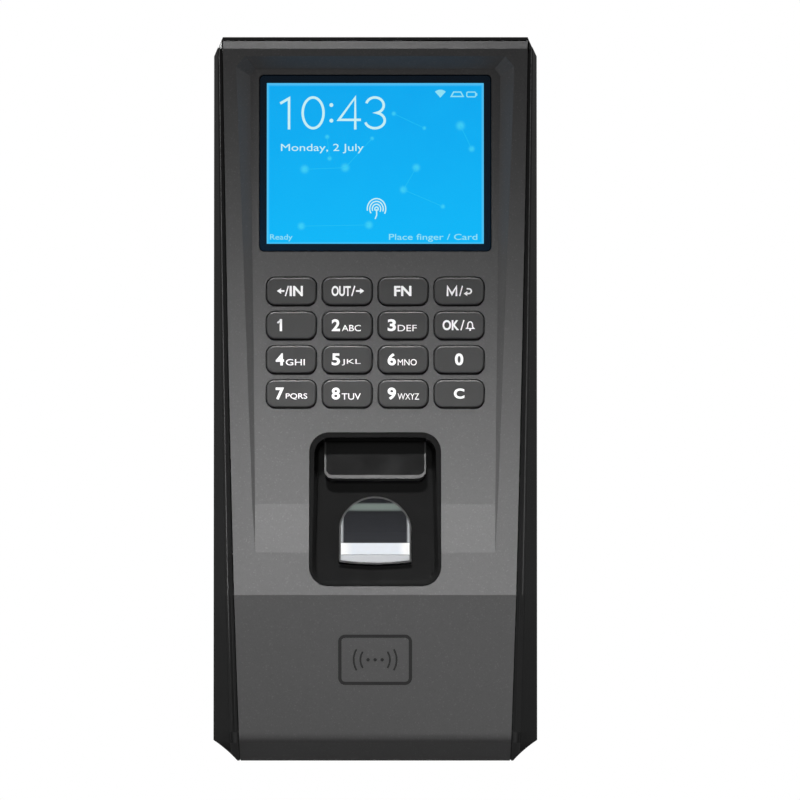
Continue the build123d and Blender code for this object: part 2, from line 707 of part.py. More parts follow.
def ribbon(name, start, stop, width):
    """A flat cable between two boards, given the y and z of its ends, as an S bend of round corners."""
    middle_y = (start[0] + stop[0]) / 2
    with BuildPart() as flat:
        with BuildSketch(Plane.YZ):
            with BuildLine():
                FilletPolyline(start, (middle_y, start[1]), (middle_y, stop[1]), stop, radius=0.7)
            trace(line_width=0.25)
        extrude(amount=width / 2, both=True)
    finish_part(flat.part, name)


def point_on(plane, up, depth):
    """The y and z of a point at a height on a plane and a depth behind it."""
    place = plane.from_local_coords((0, up, -depth))
    return (place.Y, place.Z)


BOARD_TOUCH_Y = BOARD_FRONT_Y - 0.05
RIBBON_GAP = 0.05
# Name, plane and height on it and depth behind it where it starts, height on the main board, width.
for name, plane, up, depth, board_z, width in (
    ("lcd_ribbon", screen_plane, -18.0, LCD_REAR, 36.0, 16.0),
    ("keypad_ribbon", keys_plane, 4.0, KEYPAD_BOARD_BOTTOM, 9.0, 12.0),
    ("sensor_cable", bay_plane, -4.0, SENSOR_BOARD_END, -24.0, 8.0),
):
    ribbon(name, point_on(plane, up, depth + RIBBON_GAP), (BOARD_TOUCH_Y, board_z), width)

# ---------------------------------------------------------------- keypad

KEY_NAMES = (
    ("key_7", "key_8", "key_9", "key_clear"),
    ("key_4", "key_5", "key_6", "key_0"),
    ("key_1", "key_2", "key_3", "key_ok"),
    ("key_in", "key_out", "key_fn", "key_menu"),
)
for row, names in enumerate(KEY_NAMES):
    for column, name in enumerate(names):
        spot = ((column - 1.5) * KEY_PITCH_X, (row - 1.5) * KEY_PITCH_Z)
        with BuildPart() as key:
            with BuildSketch(keys_plane.offset(-KEY_FLANGE_BOTTOM)):
                with Locations(spot):
                    RectangleRounded(KEY_WIDTH, KEY_HEIGHT, 2.15)
            extrude(amount=KEY_FLANGE_BOTTOM + KEY_PROUD)
            fillet(key.faces().sort_by(Axis.Y)[0].edges(), 0.45)
            with BuildSketch(keys_plane.offset(-KEY_FLANGE_BOTTOM)):
                with Locations(spot):
                    RectangleRounded(KEY_WIDTH + 0.9, KEY_HEIGHT + 0.9, 2.5)
            extrude(amount=KEY_FLANGE_BOTTOM - KEY_FLANGE_TOP)
            with BuildSketch(keys_plane.offset(-KEY_FOOT)):
                with Locations(spot):
                    Circle(1.5)
            extrude(amount=KEY_FOOT - KEY_FLANGE_BOTTOM)
        finish_part(key.part, name)

with BuildPart() as keypad_mat:
    with BuildSketch(keys_plane.offset(-KEYPAD_BOARD_TOP)):
        RectangleRounded(55.0, 36.0, 2.0)
    extrude(amount=KEYPAD_BOARD_TOP - MAT_TOP)
    with BuildSketch(keys_plane.offset(-MAT_TOP)):
        with GridLocations(KEY_PITCH_X, KEY_PITCH_Z, 4, 4):
            Circle(2.6)
    extrude(amount=MAT_DOME, taper=25)
finish_part(keypad_mat.part, "keypad_mat")

with BuildPart() as keypad_board:
    with BuildSketch(keys_plane.offset(-KEYPAD_BOARD_BOTTOM)):
        RectangleRounded(63.0, 38.0, 1.5)
        with Locations(*KEYPAD_POSTS):
            Circle(1.1, mode=Mode.SUBTRACT)
    extrude(amount=KEYPAD_BOARD_BOTTOM - KEYPAD_BOARD_TOP)
finish_part(keypad_board.part, "keypad_board")

# ---------------------------------------------------------------- finger bay

with BuildPart() as bay_space:
    with BuildSketch(FRONTAL.offset(26.0)):
        with Locations((0, BAY_Z)):
            RectangleRounded(27.6, 33.4, 3.2)
    with BuildSketch(FRONTAL.offset(42.0)):
        with Locations((0, BAY_Z)):
            RectangleRounded(BAY_WIDTH - 0.1, BAY_HEIGHT - 0.1, BAY_RADIUS)
    loft(ruled=True)
    split(bisect_by=bay_plane, keep=Keep.TOP)


def arch_outline(inset, low):
    """The sensor's arched outline down to a level, shrunk by an inset, in the current line builder."""
    half = ARCH_HALF - inset
    Line((-half, low), (-half, ARCH_SPRING))
    ThreePointArc((-half, ARCH_SPRING), (0, ARCH_PEAK - inset), (half, ARCH_SPRING))
    Line((half, ARCH_SPRING), (half, low))


def arch_face(plane, inset, low, bulge):
    """The arch with a bottom edge that bulges downwards by an amount."""
    half = ARCH_HALF - inset
    with BuildSketch(plane) as face:
        with BuildLine():
            arch_outline(inset, low)
            ThreePointArc((half, low), (0, low - bulge), (-half, low))
        make_face()
    return face.sketch


LAMP_UP = 11.6
LAMP_PITCH = 6.5
BULGE = ARCH_CORNER - ARCH_BOTTOM
BEZEL_HIGH = -7.0
BEZEL_LOW = -48.0
BEZEL_REAR_Y = -18.0
BEZEL_PROUD = 0.15
with BuildPart() as bay_bezel:
    with BuildSketch(FRONTAL.offset(20.0)):
        with Locations((0, BAY_Z)):
            RectangleRounded(BAY_WIDTH, BAY_HEIGHT, BAY_RADIUS)
    extrude(amount=25.0)
    with BuildSketch(Plane.YZ):
        with BuildLine():
            ThreePointArc(
                (floor_y(BEZEL_HIGH) - BEZEL_PROUD, BEZEL_HIGH),
                (floor_y(-16.0) - BEZEL_PROUD, -16.0),
                (floor_y(RECESS_END_Z) - BEZEL_PROUD, RECESS_END_Z),
            )
            Line(
                (floor_y(RECESS_END_Z) - BEZEL_PROUD, RECESS_END_Z),
                (rim_y(RECESS_FADE_Z) - BEZEL_PROUD, RECESS_FADE_Z),
            )
            ThreePointArc(
                (rim_y(RECESS_FADE_Z) - BEZEL_PROUD, RECESS_FADE_Z),
                (rim_y(-43.0) - BEZEL_PROUD, -43.0),
                (rim_y(BEZEL_LOW) - BEZEL_PROUD, BEZEL_LOW),
            )
            Polyline(
                (rim_y(BEZEL_LOW) - BEZEL_PROUD, BEZEL_LOW),
                (BEZEL_REAR_Y, BEZEL_LOW),
                (BEZEL_REAR_Y, BEZEL_HIGH),
                (floor_y(BEZEL_HIGH) - BEZEL_PROUD, BEZEL_HIGH),
            )
        make_face()
    extrude(amount=BAY_WIDTH, both=True, mode=Mode.INTERSECT)
    # Flange behind the front panel.
    with BuildSketch(Plane.YZ):
        with BuildLine():
            Polyline((-30.4, -6.6), (-35.6, -47.6), (-34.2, -47.6), (-29.0, -6.6), close=True)
        make_face()
    extrude(amount=18.0, both=True)
    split(bisect_by=bay_plane.offset(-BAY_WALL), keep=Keep.TOP)
    add(bay_space.part, mode=Mode.SUBTRACT)
    extrude(
        arch_face(bay_plane.offset(-BAY_WALL - 1.0), -FIT, ARCH_CORNER - FIT, BULGE),
        amount=4.0,
        mode=Mode.SUBTRACT,
    )
    with BuildSketch(bay_plane.offset(-BAY_WALL - 1.0)):
        with Locations((0, LAMP_UP)):
            Rectangle(18.0, 4.4)
    extrude(amount=4.0, mode=Mode.SUBTRACT)
finish_part(bay_bezel.part, "bay_bezel")

HOOD_WIDTH = 25.2
HOOD_TOP = 16.2
HOOD_BOTTOM = 7.0
HOOD_RISE = 3.2
TRIM_SIDE = 0.4
TRIM_BOTTOM = 0.9
TRIM_RISE = 3.5


def hood_sketch(plane, side_inset, bottom_inset, corner):
    """The indicator window's outline: square at its top, with rounded lower corners."""
    half = HOOD_WIDTH / 2 - side_inset
    low = HOOD_BOTTOM + bottom_inset
    with BuildSketch(plane) as outline:
        with BuildLine():
            FilletPolyline((-half, HOOD_TOP), (-half, low), (half, low), (half, HOOD_TOP), radius=corner)
            Line((half, HOOD_TOP), (-half, HOOD_TOP))
        make_face()
    return outline.sketch


with BuildPart() as indicator_window:
    extrude(hood_sketch(bay_plane, TRIM_SIDE + 0.02, TRIM_BOTTOM + 0.02, 1.6), amount=HOOD_RISE)
    with BuildSketch(bay_plane):
        with Locations((0, (HOOD_TOP + HOOD_BOTTOM + TRIM_BOTTOM) / 2)):
            Rectangle(HOOD_WIDTH - 3.2, HOOD_TOP - HOOD_BOTTOM - TRIM_BOTTOM - 2.0)
    extrude(amount=HOOD_RISE - 1.0, mode=Mode.SUBTRACT)
finish_part(indicator_window.part, "indicator_window")

with BuildPart() as indicator_trim:
    extrude(hood_sketch(bay_plane, 0.0, 0.0, 2.2), amount=TRIM_RISE)
    extrude(hood_sketch(bay_plane, TRIM_SIDE, TRIM_BOTTOM, 1.6), amount=TRIM_RISE, mode=Mode.SUBTRACT)
finish_part(indicator_trim.part, "indicator_trim")

with BuildPart() as indicator_board:
    with BuildSketch(bay_plane.offset(-BAY_WALL - 1.2)):
        with Locations((0, LAMP_UP)):
            Rectangle(24.0, 7.0)
    extrude(amount=1.0)
finish_part(indicator_board.part, "indicator_board")

with BuildPart() as indicator_lamps:
    with BuildSketch(bay_plane.offset(-BAY_WALL - 0.2)):
        with Locations((0, LAMP_UP)):
            with GridLocations(LAMP_PITCH, 1.0, 2, 1):
                Rectangle(3.2, 2.8)
    extrude(amount=1.9)
finish_part(indicator_lamps.part, "indicator_lamps")

# ---------------------------------------------------------------- fingerprint sensor

SENSOR_SEAT = 2.6  # how deep the prism, the light bar and the lip reach below the bay's floor
with BuildPart() as sensor_case:
    with BuildSketch(bay_plane.offset(-SENSOR_CASE_END)):
        with Locations((0, -5.3)):
            Rectangle(24.0, 21.6)
    extrude(amount=SENSOR_CASE_END - BAY_WALL - 0.15)
    with BuildSketch(bay_plane.offset(-SENSOR_FLANGE_BOTTOM)):
        RectangleRounded(46.0, 31.0, 2.0)
        with Locations(*SENSOR_POSTS):
            Circle(1.1, mode=Mode.SUBTRACT)
    extrude(amount=SENSOR_FLANGE_BOTTOM - SENSOR_FLANGE_TOP)
    extrude(
        arch_face(bay_plane.offset(-BAY_WALL - 1.0), 0.0, ARCH_CORNER, BULGE),
        amount=BAY_WALL + 1.0 + SENSOR_LIFT,
    )
    with BuildSketch(bay_plane.offset(-SENSOR_CASE_END)):
        with Locations((0, -5.3)):
            Rectangle(20.4, 18.0)
    extrude(amount=SENSOR_CASE_END - SENSOR_SEAT - 1.2, mode=Mode.SUBTRACT)
    extrude(
        arch_face(bay_plane.offset(-SENSOR_SEAT), ARCH_WALL, ARCH_CORNER + ARCH_WALL, BULGE),
        amount=SENSOR_SEAT + 4.0,
        mode=Mode.SUBTRACT,
    )
    with BuildSketch(bay_plane.offset(-SENSOR_CASE_END)):
        with Locations((0, -5.0)):
            Rectangle(13.0, 10.0)
    extrude(amount=SENSOR_CASE_END, mode=Mode.SUBTRACT)
finish_part(sensor_case.part, "sensor_case")

PIECE_GAP = 0.05
with BuildPart() as sensor_prism:
    with BuildSketch(bay_plane.offset(-SENSOR_SEAT)):
        with BuildLine():
            arch_outline(ARCH_WALL + PIECE_GAP, ARCH_BAR_TOP)
            Line(
                (ARCH_HALF - ARCH_WALL - PIECE_GAP, ARCH_BAR_TOP),
                (-ARCH_HALF + ARCH_WALL + PIECE_GAP, ARCH_BAR_TOP),
            )
        make_face()
    extrude(amount=SENSOR_SEAT + SENSOR_LIFT + 0.2)
finish_part(sensor_prism.part, "sensor_prism")

with BuildPart() as sensor_light_bar:
    with BuildSketch(bay_plane.offset(-SENSOR_SEAT)):
        with Locations((0, (ARCH_BAR_TOP + ARCH_LIP_TOP) / 2)):
            Rectangle(2 * (ARCH_HALF - ARCH_WALL - PIECE_GAP), ARCH_BAR_TOP - ARCH_LIP_TOP - 2 * PIECE_GAP)
    extrude(amount=SENSOR_SEAT + SENSOR_LIFT + 0.15)
finish_part(sensor_light_bar.part, "sensor_light_bar")

with BuildPart() as sensor_lip:
    with BuildSketch(bay_plane.offset(-SENSOR_SEAT)):
        with BuildLine():
            half = ARCH_HALF - ARCH_WALL - PIECE_GAP
            low = ARCH_CORNER + ARCH_WALL + PIECE_GAP
            Polyline((-half, low), (-half, ARCH_LIP_TOP), (half, ARCH_LIP_TOP), (half, low))
            ThreePointArc((half, low), (0, low - BULGE), (-half, low))
        make_face()
    extrude(amount=SENSOR_SEAT + SENSOR_LIFT)
finish_part(sensor_lip.part, "sensor_lip")

with BuildPart() as sensor_lens_barrel:
    with BuildSketch(bay_plane.offset(-SENSOR_CASE_END)):
        with Locations((0, -5.0)):
            Circle(3.4)
            Circle(2.2, mode=Mode.SUBTRACT)
    extrude(amount=3.6)
finish_part(sensor_lens_barrel.part, "sensor_lens_barrel")

with BuildPart() as sensor_board:
    with BuildSketch(bay_plane.offset(-SENSOR_BOARD_END)):
        with Locations((0, -5.3)):
            Rectangle(23.6, 21.2)
    extrude(amount=SENSOR_BOARD_END - SENSOR_CASE_END)
finish_part(sensor_board.part, "sensor_board")

# ---------------------------------------------------------------- card antenna

with BuildPart() as card_antenna_board:
    with BuildSketch(card_plane.offset(-CARD_BOARD_BOTTOM)):
        Rectangle(47.4, 28.6)
        with Locations(*CARD_POSTS):
            Circle(1.1, mode=Mode.SUBTRACT)
    extrude(amount=CARD_BOARD_BOTTOM - CARD_BOARD_TOP)
finish_part(card_antenna_board.part, "card_antenna_board")

with BuildPart() as card_antenna_coil:
    with BuildSketch(card_plane.offset(-CARD_BOARD_TOP)):
        for turn in range(4):
            RectangleRounded(38.0 - 2.4 * turn, 26.0 - 2.4 * turn, 3.0)
            RectangleRounded(36.8 - 2.4 * turn, 24.8 - 2.4 * turn, 2.4, mode=Mode.SUBTRACT)
    extrude(amount=0.2)
finish_part(card_antenna_coil.part, "card_antenna_coil")

# ---------------------------------------------------------------- main board and what stands on it

with BuildPart() as main_board:
    with BuildSketch(FRONTAL.offset(-BOARD_REAR_Y)):
        with BuildLine():
            Polyline(
                (-30.2, -62.0),
                (3.0, -62.0),
                (3.0, -82.0),
                (24.0, -82.0),
                (24.0, -62.0),
                (30.2, -62.0),
                (30.2, 60.0),
                (35.0, 65.0),
                (35.0, 76.5),
                (-35.0, 76.5),
                (-35.0, 65.0),
                (-30.2, 60.0),
                close=True,
            )
        make_face()
        with Locations(*BOARD_POSTS):
            Circle(1.1, mode=Mode.SUBTRACT)
    extrude(amount=BOARD_REAR_Y - BOARD_FRONT_Y)
finish_part(main_board.part, "main_board")

# Width, height, thickness and centre of each chip on the board's rear side.
CHIPS = (
    (14.0, 14.0, 1.2, -14.0, 14.0),
    (9.0, 13.0, 1.0, 2.0, 14.0),
    (7.0, 7.0, 0.9, 14.0, 14.0),
    (4.0, 5.0, 1.1, 24.0, 12.0),
    (6.0, 5.0, 1.6, -25.0, -6.0),
    (8.0, 6.0, 4.2, 22.0, -14.0),
    (6.0, 8.0, 1.8, 22.0, -28.0),
)
with BuildPart() as main_chips:
    for width, tall, thick, x, z in CHIPS:
        with BuildSketch(FRONTAL.offset(-BOARD_REAR_Y - thick)):
            with Locations((x, z)):
                Rectangle(width, tall)
        extrude(amount=thick)
finish_part(main_chips.part, "main_chips")

with BuildPart() as shield_can:
    with BuildSketch(FRONTAL.offset(-BOARD_REAR_Y - 2.6)):
        with Locations((-19.0, 34.0)):
            RectangleRounded(18.0, 15.0, 0.8)
    extrude(amount=2.6)
finish_part(shield_can.part, "shield_can")

with BuildPart() as door_relay:
    with BuildSketch(FRONTAL.offset(-BOARD_REAR_Y - 5.8)):
        with Locations(RELAY_SPOT):
            Rectangle(20.0, 12.0)
    extrude(amount=5.8)
    fillet(door_relay.edges().filter_by(Axis.Y), 0.6)
finish_part(door_relay.part, "door_relay")

with BuildPart() as network_socket:
    with BuildSketch(FRONTAL.offset(-SOCKET_REAR_Y)):
        with Locations((SOCKET_X, (SOCKET_TOP_Z + SOCKET_BOTTOM_Z) / 2)):
            Rectangle(SOCKET_WIDTH, SOCKET_TOP_Z - SOCKET_BOTTOM_Z)
    extrude(amount=SOCKET_REAR_Y - BOARD_REAR_Y)
    with BuildSketch(Plane.XY.offset(SOCKET_BOTTOM_Z)):
        with Locations((SOCKET_X, -8.2)):
            Rectangle(11.9, 8.0)
        with Locations((SOCKET_X, -3.9)):
            Rectangle(5.2, 2.0)
    extrude(amount=15.0, mode=Mode.SUBTRACT)
finish_part(network_socket.part, "network_socket")

TERMINAL_WIDTH = TERMINAL_COUNT * TERMINAL_PITCH
TERMINAL_REAR_Y = -5.4
WIRE_Y = -10.6
SCREW_Z = TERMINAL_Z + 0.6
with BuildPart() as wiring_terminals:
    with BuildSketch(FRONTAL.offset(-TERMINAL_REAR_Y)):
        with Locations((0, TERMINAL_Z)):
            Rectangle(TERMINAL_WIDTH, 9.0)
    extrude(amount=TERMINAL_REAR_Y - BOARD_REAR_Y)
    with BuildSketch(Plane.XY.offset(TERMINAL_Z + 4.5)):
        with Locations((0, WIRE_Y)):
            with GridLocations(TERMINAL_PITCH, 1.0, TERMINAL_COUNT, 1):
                Rectangle(2.9, 3.0)
    extrude(amount=-6.5, mode=Mode.SUBTRACT)
    with BuildSketch(FRONTAL.offset(-TERMINAL_REAR_Y)):
        with Locations((0, SCREW_Z)):
            with GridLocations(TERMINAL_PITCH, 1.0, TERMINAL_COUNT, 1):
                Circle(1.45)
    extrude(amount=3.2, mode=Mode.SUBTRACT)
finish_part(wiring_terminals.part, "wiring_terminals")

with BuildPart() as terminal_screws:
    with BuildSketch(FRONTAL.offset(-TERMINAL_REAR_Y + 1.2)):
        with Locations((0, SCREW_Z)):
            with GridLocations(TERMINAL_PITCH, 1.0, TERMINAL_COUNT, 1):
                Circle(1.35)
    extrude(amount=1.9)
    with BuildSketch(FRONTAL.offset(-TERMINAL_REAR_Y + 1.2)):
        with Locations((0, SCREW_Z)):
            with GridLocations(TERMINAL_PITCH, 1.0, TERMINAL_COUNT, 1):
                Rectangle(0.5, 2.8)
    extrude(amount=0.6, mode=Mode.SUBTRACT)
finish_part(terminal_screws.part, "terminal_screws")

with BuildPart() as usb_port:
    with BuildSketch(Plane.XY.offset(USB_MOUTH_Z)):
        with Locations((USB_X, USB_Y)):
            Rectangle(13.2, 5.8)
    extrude(amount=15.0)
    with BuildSketch(Plane.XY.offset(USB_MOUTH_Z)):
        with Locations((USB_X, USB_Y)):
            Rectangle(12.4, 5.0)
        with Locations((USB_X, USB_Y - 1.0)):
            Rectangle(11.0, 1.8, mode=Mode.SUBTRACT)
    extrude(amount=13.0, mode=Mode.SUBTRACT)
    with BuildSketch(Plane.XY.offset(USB_MOUTH_Z)):
        with Locations((USB_X, USB_Y)):
            Rectangle(12.4, 5.0)
    extrude(amount=1.6, mode=Mode.SUBTRACT)
finish_part(usb_port.part, "usb_port")

FLAP_HINGE_X = 4.55
FLAP_HINGE_Z = -89.25
FLAP_HALF = 0.65
FLAP_END_X = 24.1
with BuildPart() as usb_cover:
    with BuildSketch(FRONTAL.offset(-USB_Y - 4.1)):
        with BuildLine():
            Line((FLAP_HINGE_X, FLAP_HINGE_Z - FLAP_HALF), (FLAP_END_X, FLAP_HINGE_Z - FLAP_HALF))
            Line((FLAP_END_X, FLAP_HINGE_Z - FLAP_HALF), (FLAP_END_X, FLAP_HINGE_Z + FLAP_HALF))
            Line((FLAP_END_X, FLAP_HINGE_Z + FLAP_HALF), (FLAP_HINGE_X, FLAP_HINGE_Z + FLAP_HALF))
            ThreePointArc(
                (FLAP_HINGE_X, FLAP_HINGE_Z + FLAP_HALF),
                (FLAP_HINGE_X - FLAP_HALF, FLAP_HINGE_Z),
                (FLAP_HINGE_X, FLAP_HINGE_Z - FLAP_HALF),
            )
        make_face()
    extrude(amount=8.2)
    with BuildSketch(Plane.XY.offset(FLAP_HINGE_Z)):
        with Locations((USB_X, USB_Y)):
            RectangleRounded(9.6, 3.6, 0.5)
    extrude(amount=2.0)
finish_part(usb_cover.part, "usb_cover")

with BuildPart() as speaker:
    with BuildSketch(FRONTAL.offset(-COVER_FRONT_Y + 0.05)):
        with Locations(SPEAKER_SPOT):
            Circle(11.5)
    extrude(amount=2.2)
    with BuildSketch(FRONTAL.offset(-COVER_FRONT_Y + 0.05)):
        with Locations(SPEAKER_SPOT):
            Circle(7.0)
    extrude(amount=5.2)
    with BuildSketch(FRONTAL.offset(-COVER_FRONT_Y + 0.05)):
        with Locations(SPEAKER_SPOT):
            Circle(9.6)
    extrude(amount=1.2, mode=Mode.SUBTRACT)
finish_part(speaker.part, "speaker")

with BuildPart() as battery_holder:
    with BuildSketch(FRONTAL.offset(-BOARD_REAR_Y - 4.6)):
        with Locations(BATTERY_SPOT):
            Circle(11.5)
    extrude(amount=4.6)
    with BuildSketch(FRONTAL.offset(-BOARD_REAR_Y - 4.6)):
        with Locations(BATTERY_SPOT):
            Circle(10.2)
            Rectangle(30.0, 7.0)
    extrude(amount=3.6, mode=Mode.SUBTRACT)
finish_part(battery_holder.part, "battery_holder")

with BuildPart() as backup_battery:
    with BuildSketch(FRONTAL.offset(-BOARD_REAR_Y - 4.2)):
        with Locations(BATTERY_SPOT):
            Circle(10.0)
    extrude(amount=3.2)
    fillet(backup_battery.edges().filter_by(GeomType.CIRCLE), 0.4)
finish_part(backup_battery.part, "backup_battery")

TAMPER_TOP_Y = -9.4
with BuildPart() as tamper_switch:
    with BuildSketch(FRONTAL.offset(-TAMPER_TOP_Y)):
        with Locations(TAMPER_SPOT):
            Rectangle(8.0, 8.0)
    extrude(amount=TAMPER_TOP_Y - BOARD_REAR_Y)
    with BuildSketch(FRONTAL.offset(-TAMPER_TOP_Y)):
        with Locations(TAMPER_SPOT):
            Circle(1.8)
    extrude(amount=3.6, mode=Mode.SUBTRACT)
finish_part(tamper_switch.part, "tamper_switch")

with BuildPart() as tamper_button:
    with BuildSketch(FRONTAL.offset(PLATE_THICKNESS + 0.15)):
        with Locations(TAMPER_SPOT):
            Circle(1.5)
    extrude(amount=10.1)
    fillet(tamper_button.edges().sort_by(Axis.Y)[-1], 0.5)
finish_part(tamper_button.part, "tamper_button")

# ---------------------------------------------------------------- screws


def cross_screw(head_radius, head_height, shank_radius, length):
    """A pan-head screw with a cross in its head, its shank along +Z from the origin."""
    with BuildPart() as screw:
        with BuildSketch(Plane.XY.offset(-head_height)):
            Circle(head_radius)
        extrude(amount=head_height)
        fillet(screw.edges().sort_by(Axis.Z)[0], 0.3 * head_height)
        with BuildSketch():
            Circle(shank_radius)
        extrude(amount=length)
        chamfer(screw.edges().sort_by(Axis.Z)[-1], 0.4 * shank_radius)
        with BuildSketch(Plane.XY.offset(-head_height)):
            Rectangle(1.3 * head_radius, 0.3 * head_radius)
            Rectangle(0.3 * head_radius, 1.3 * head_radius)
        extrude(amount=0.6 * head_height, mode=Mode.SUBTRACT)
    return screw.part


small_screw = cross_screw(1.9, 1.3, SMALL_SHANK, SMALL_SCREW_LENGTH)
case_screw = cross_screw(2.6, 1.8, CASE_SHANK, CASE_SCREW_LENGTH)
with BuildPart() as board_screws:
    for plane, points in (
        (FRONTAL.offset(-BOARD_REAR_Y), BOARD_POSTS),
        (keys_plane.offset(-KEYPAD_BOARD_BOTTOM), KEYPAD_POSTS),
        (bay_plane.offset(-SENSOR_FLANGE_BOTTOM), SENSOR_POSTS),
        (card_plane.offset(-CARD_BOARD_BOTTOM), CARD_POSTS),
    ):
        with Locations(plane):
            with Locations(*points):
                add(small_screw)
finish_part(board_screws.part, "board_screws")

with BuildPart() as case_screws:
    with Locations(FRONTAL.offset(-COVER_REAR_Y + 1.0)):
        with Locations(*CASE_POSTS):
            add(case_screw)
finish_part(case_screws.part, "case_screws")

lock_shape = cross_screw(2.6, 1.8, 1.2, 6.0)
with BuildPart() as lock_screw:
    with Locations(Plane(origin=(0, LOCK_Y, BOTTOM + 2.1), z_dir=(0, 0, 1))):
        add(lock_shape)
finish_part(lock_screw.part, "lock_screw")
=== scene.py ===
import math

import bmesh
import bpy
from mathutils import Matrix, Vector


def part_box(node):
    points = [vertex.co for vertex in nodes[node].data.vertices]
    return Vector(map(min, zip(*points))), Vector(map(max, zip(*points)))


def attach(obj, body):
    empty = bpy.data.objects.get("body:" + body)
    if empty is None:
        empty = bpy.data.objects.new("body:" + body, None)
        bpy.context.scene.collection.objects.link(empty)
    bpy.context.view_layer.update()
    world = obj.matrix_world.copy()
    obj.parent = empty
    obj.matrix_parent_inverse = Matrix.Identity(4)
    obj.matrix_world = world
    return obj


# Looks of the fingerprint terminal: surface finishes, key legends, the lit picture, light and camera.
# Metres, +Z up. The front faces -Y and the wall is the plane y = 0. Artwork is drawn in millimetres, on a
# plane of its own.

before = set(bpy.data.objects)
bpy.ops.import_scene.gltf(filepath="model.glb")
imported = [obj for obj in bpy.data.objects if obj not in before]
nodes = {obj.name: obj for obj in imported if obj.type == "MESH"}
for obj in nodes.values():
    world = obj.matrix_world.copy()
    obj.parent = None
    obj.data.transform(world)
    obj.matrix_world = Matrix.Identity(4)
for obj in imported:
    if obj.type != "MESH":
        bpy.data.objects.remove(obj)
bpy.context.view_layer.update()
MM = 0.001
ACROSS = Vector((1, 0, 0))

# ---------------------------------------------------------------- places on the CAD model

FACING_Y = -0.9  # a face whose normal has a lower y than this looks to the front
FLATNESS = 0.05 * MM  # points this close behind the foremost one belong to its face


def plane_at(origin, out):
    """Matrix of a plane in mm: its X is across, its Y is up and its Z comes out of the surface."""
    out = out.normalized()
    up = out.cross(ACROSS)
    place = Matrix.Identity(4)
    for column, axis in enumerate((ACROSS, up, out)):
        for row in range(3):
            place[row][column] = axis[row] * MM
    for row in range(3):
        place[row][3] = origin[row]
    return place


def front_plane(name):
    """The plane of a CAD node's foremost flat face, with its origin at the middle of that face."""
    mesh = nodes[name].data
    front = [p for p in mesh.polygons if p.normal.y < FACING_Y]
    out = max(front, key=lambda p: p.area).normal.normalized()
    up = out.cross(ACROSS)
    reach = max(v.co.dot(out) for v in mesh.vertices)
    top = [v.co for v in mesh.vertices if v.co.dot(out) > reach - FLATNESS]
    levels = [co.dot(up) for co in top]
    sides = [co.x for co in top]
    middle = ACROSS * (min(sides) + max(sides)) / 2 + up * (min(levels) + max(levels)) / 2 + out * reach
    return plane_at(middle, out)


def plane_on(name, x, z):
    """The plane of a CAD node's front surface at a point, with its origin on the middle line."""
    _, point, out, _ = nodes[name].ray_cast((x, -1, z), (0, 1, 0))
    return plane_at(Vector((0, point.y, point.z)), out)


# ---------------------------------------------------------------- flat artwork


def rounded(width, height, radius, steps=6, x=0.0, y=0.0):
    """Points of a rectangle with round corners about a point."""
    points = []
    for turn, (side, rise) in enumerate(((1, 1), (-1, 1), (-1, -1), (1, -1))):
        for step in range(steps + 1):
            angle = math.radians(90 * (turn + step / steps))
            points.append(
                (
                    x + side * (width / 2 - radius) + radius * math.cos(angle),
                    y + rise * (height / 2 - radius) + radius * math.sin(angle),
                )
            )
    return points


def arc(x, y, radius, start, end, steps=16, rise=None):
    """Points of an arc between two angles in degrees, or of an oval arc where a second radius is given."""
    tall = radius if rise is None else rise
    angles = [math.radians(start + (end - start) * step / steps) for step in range(steps + 1)]
    return [(x + radius * math.cos(a), y + tall * math.sin(a)) for a in angles]


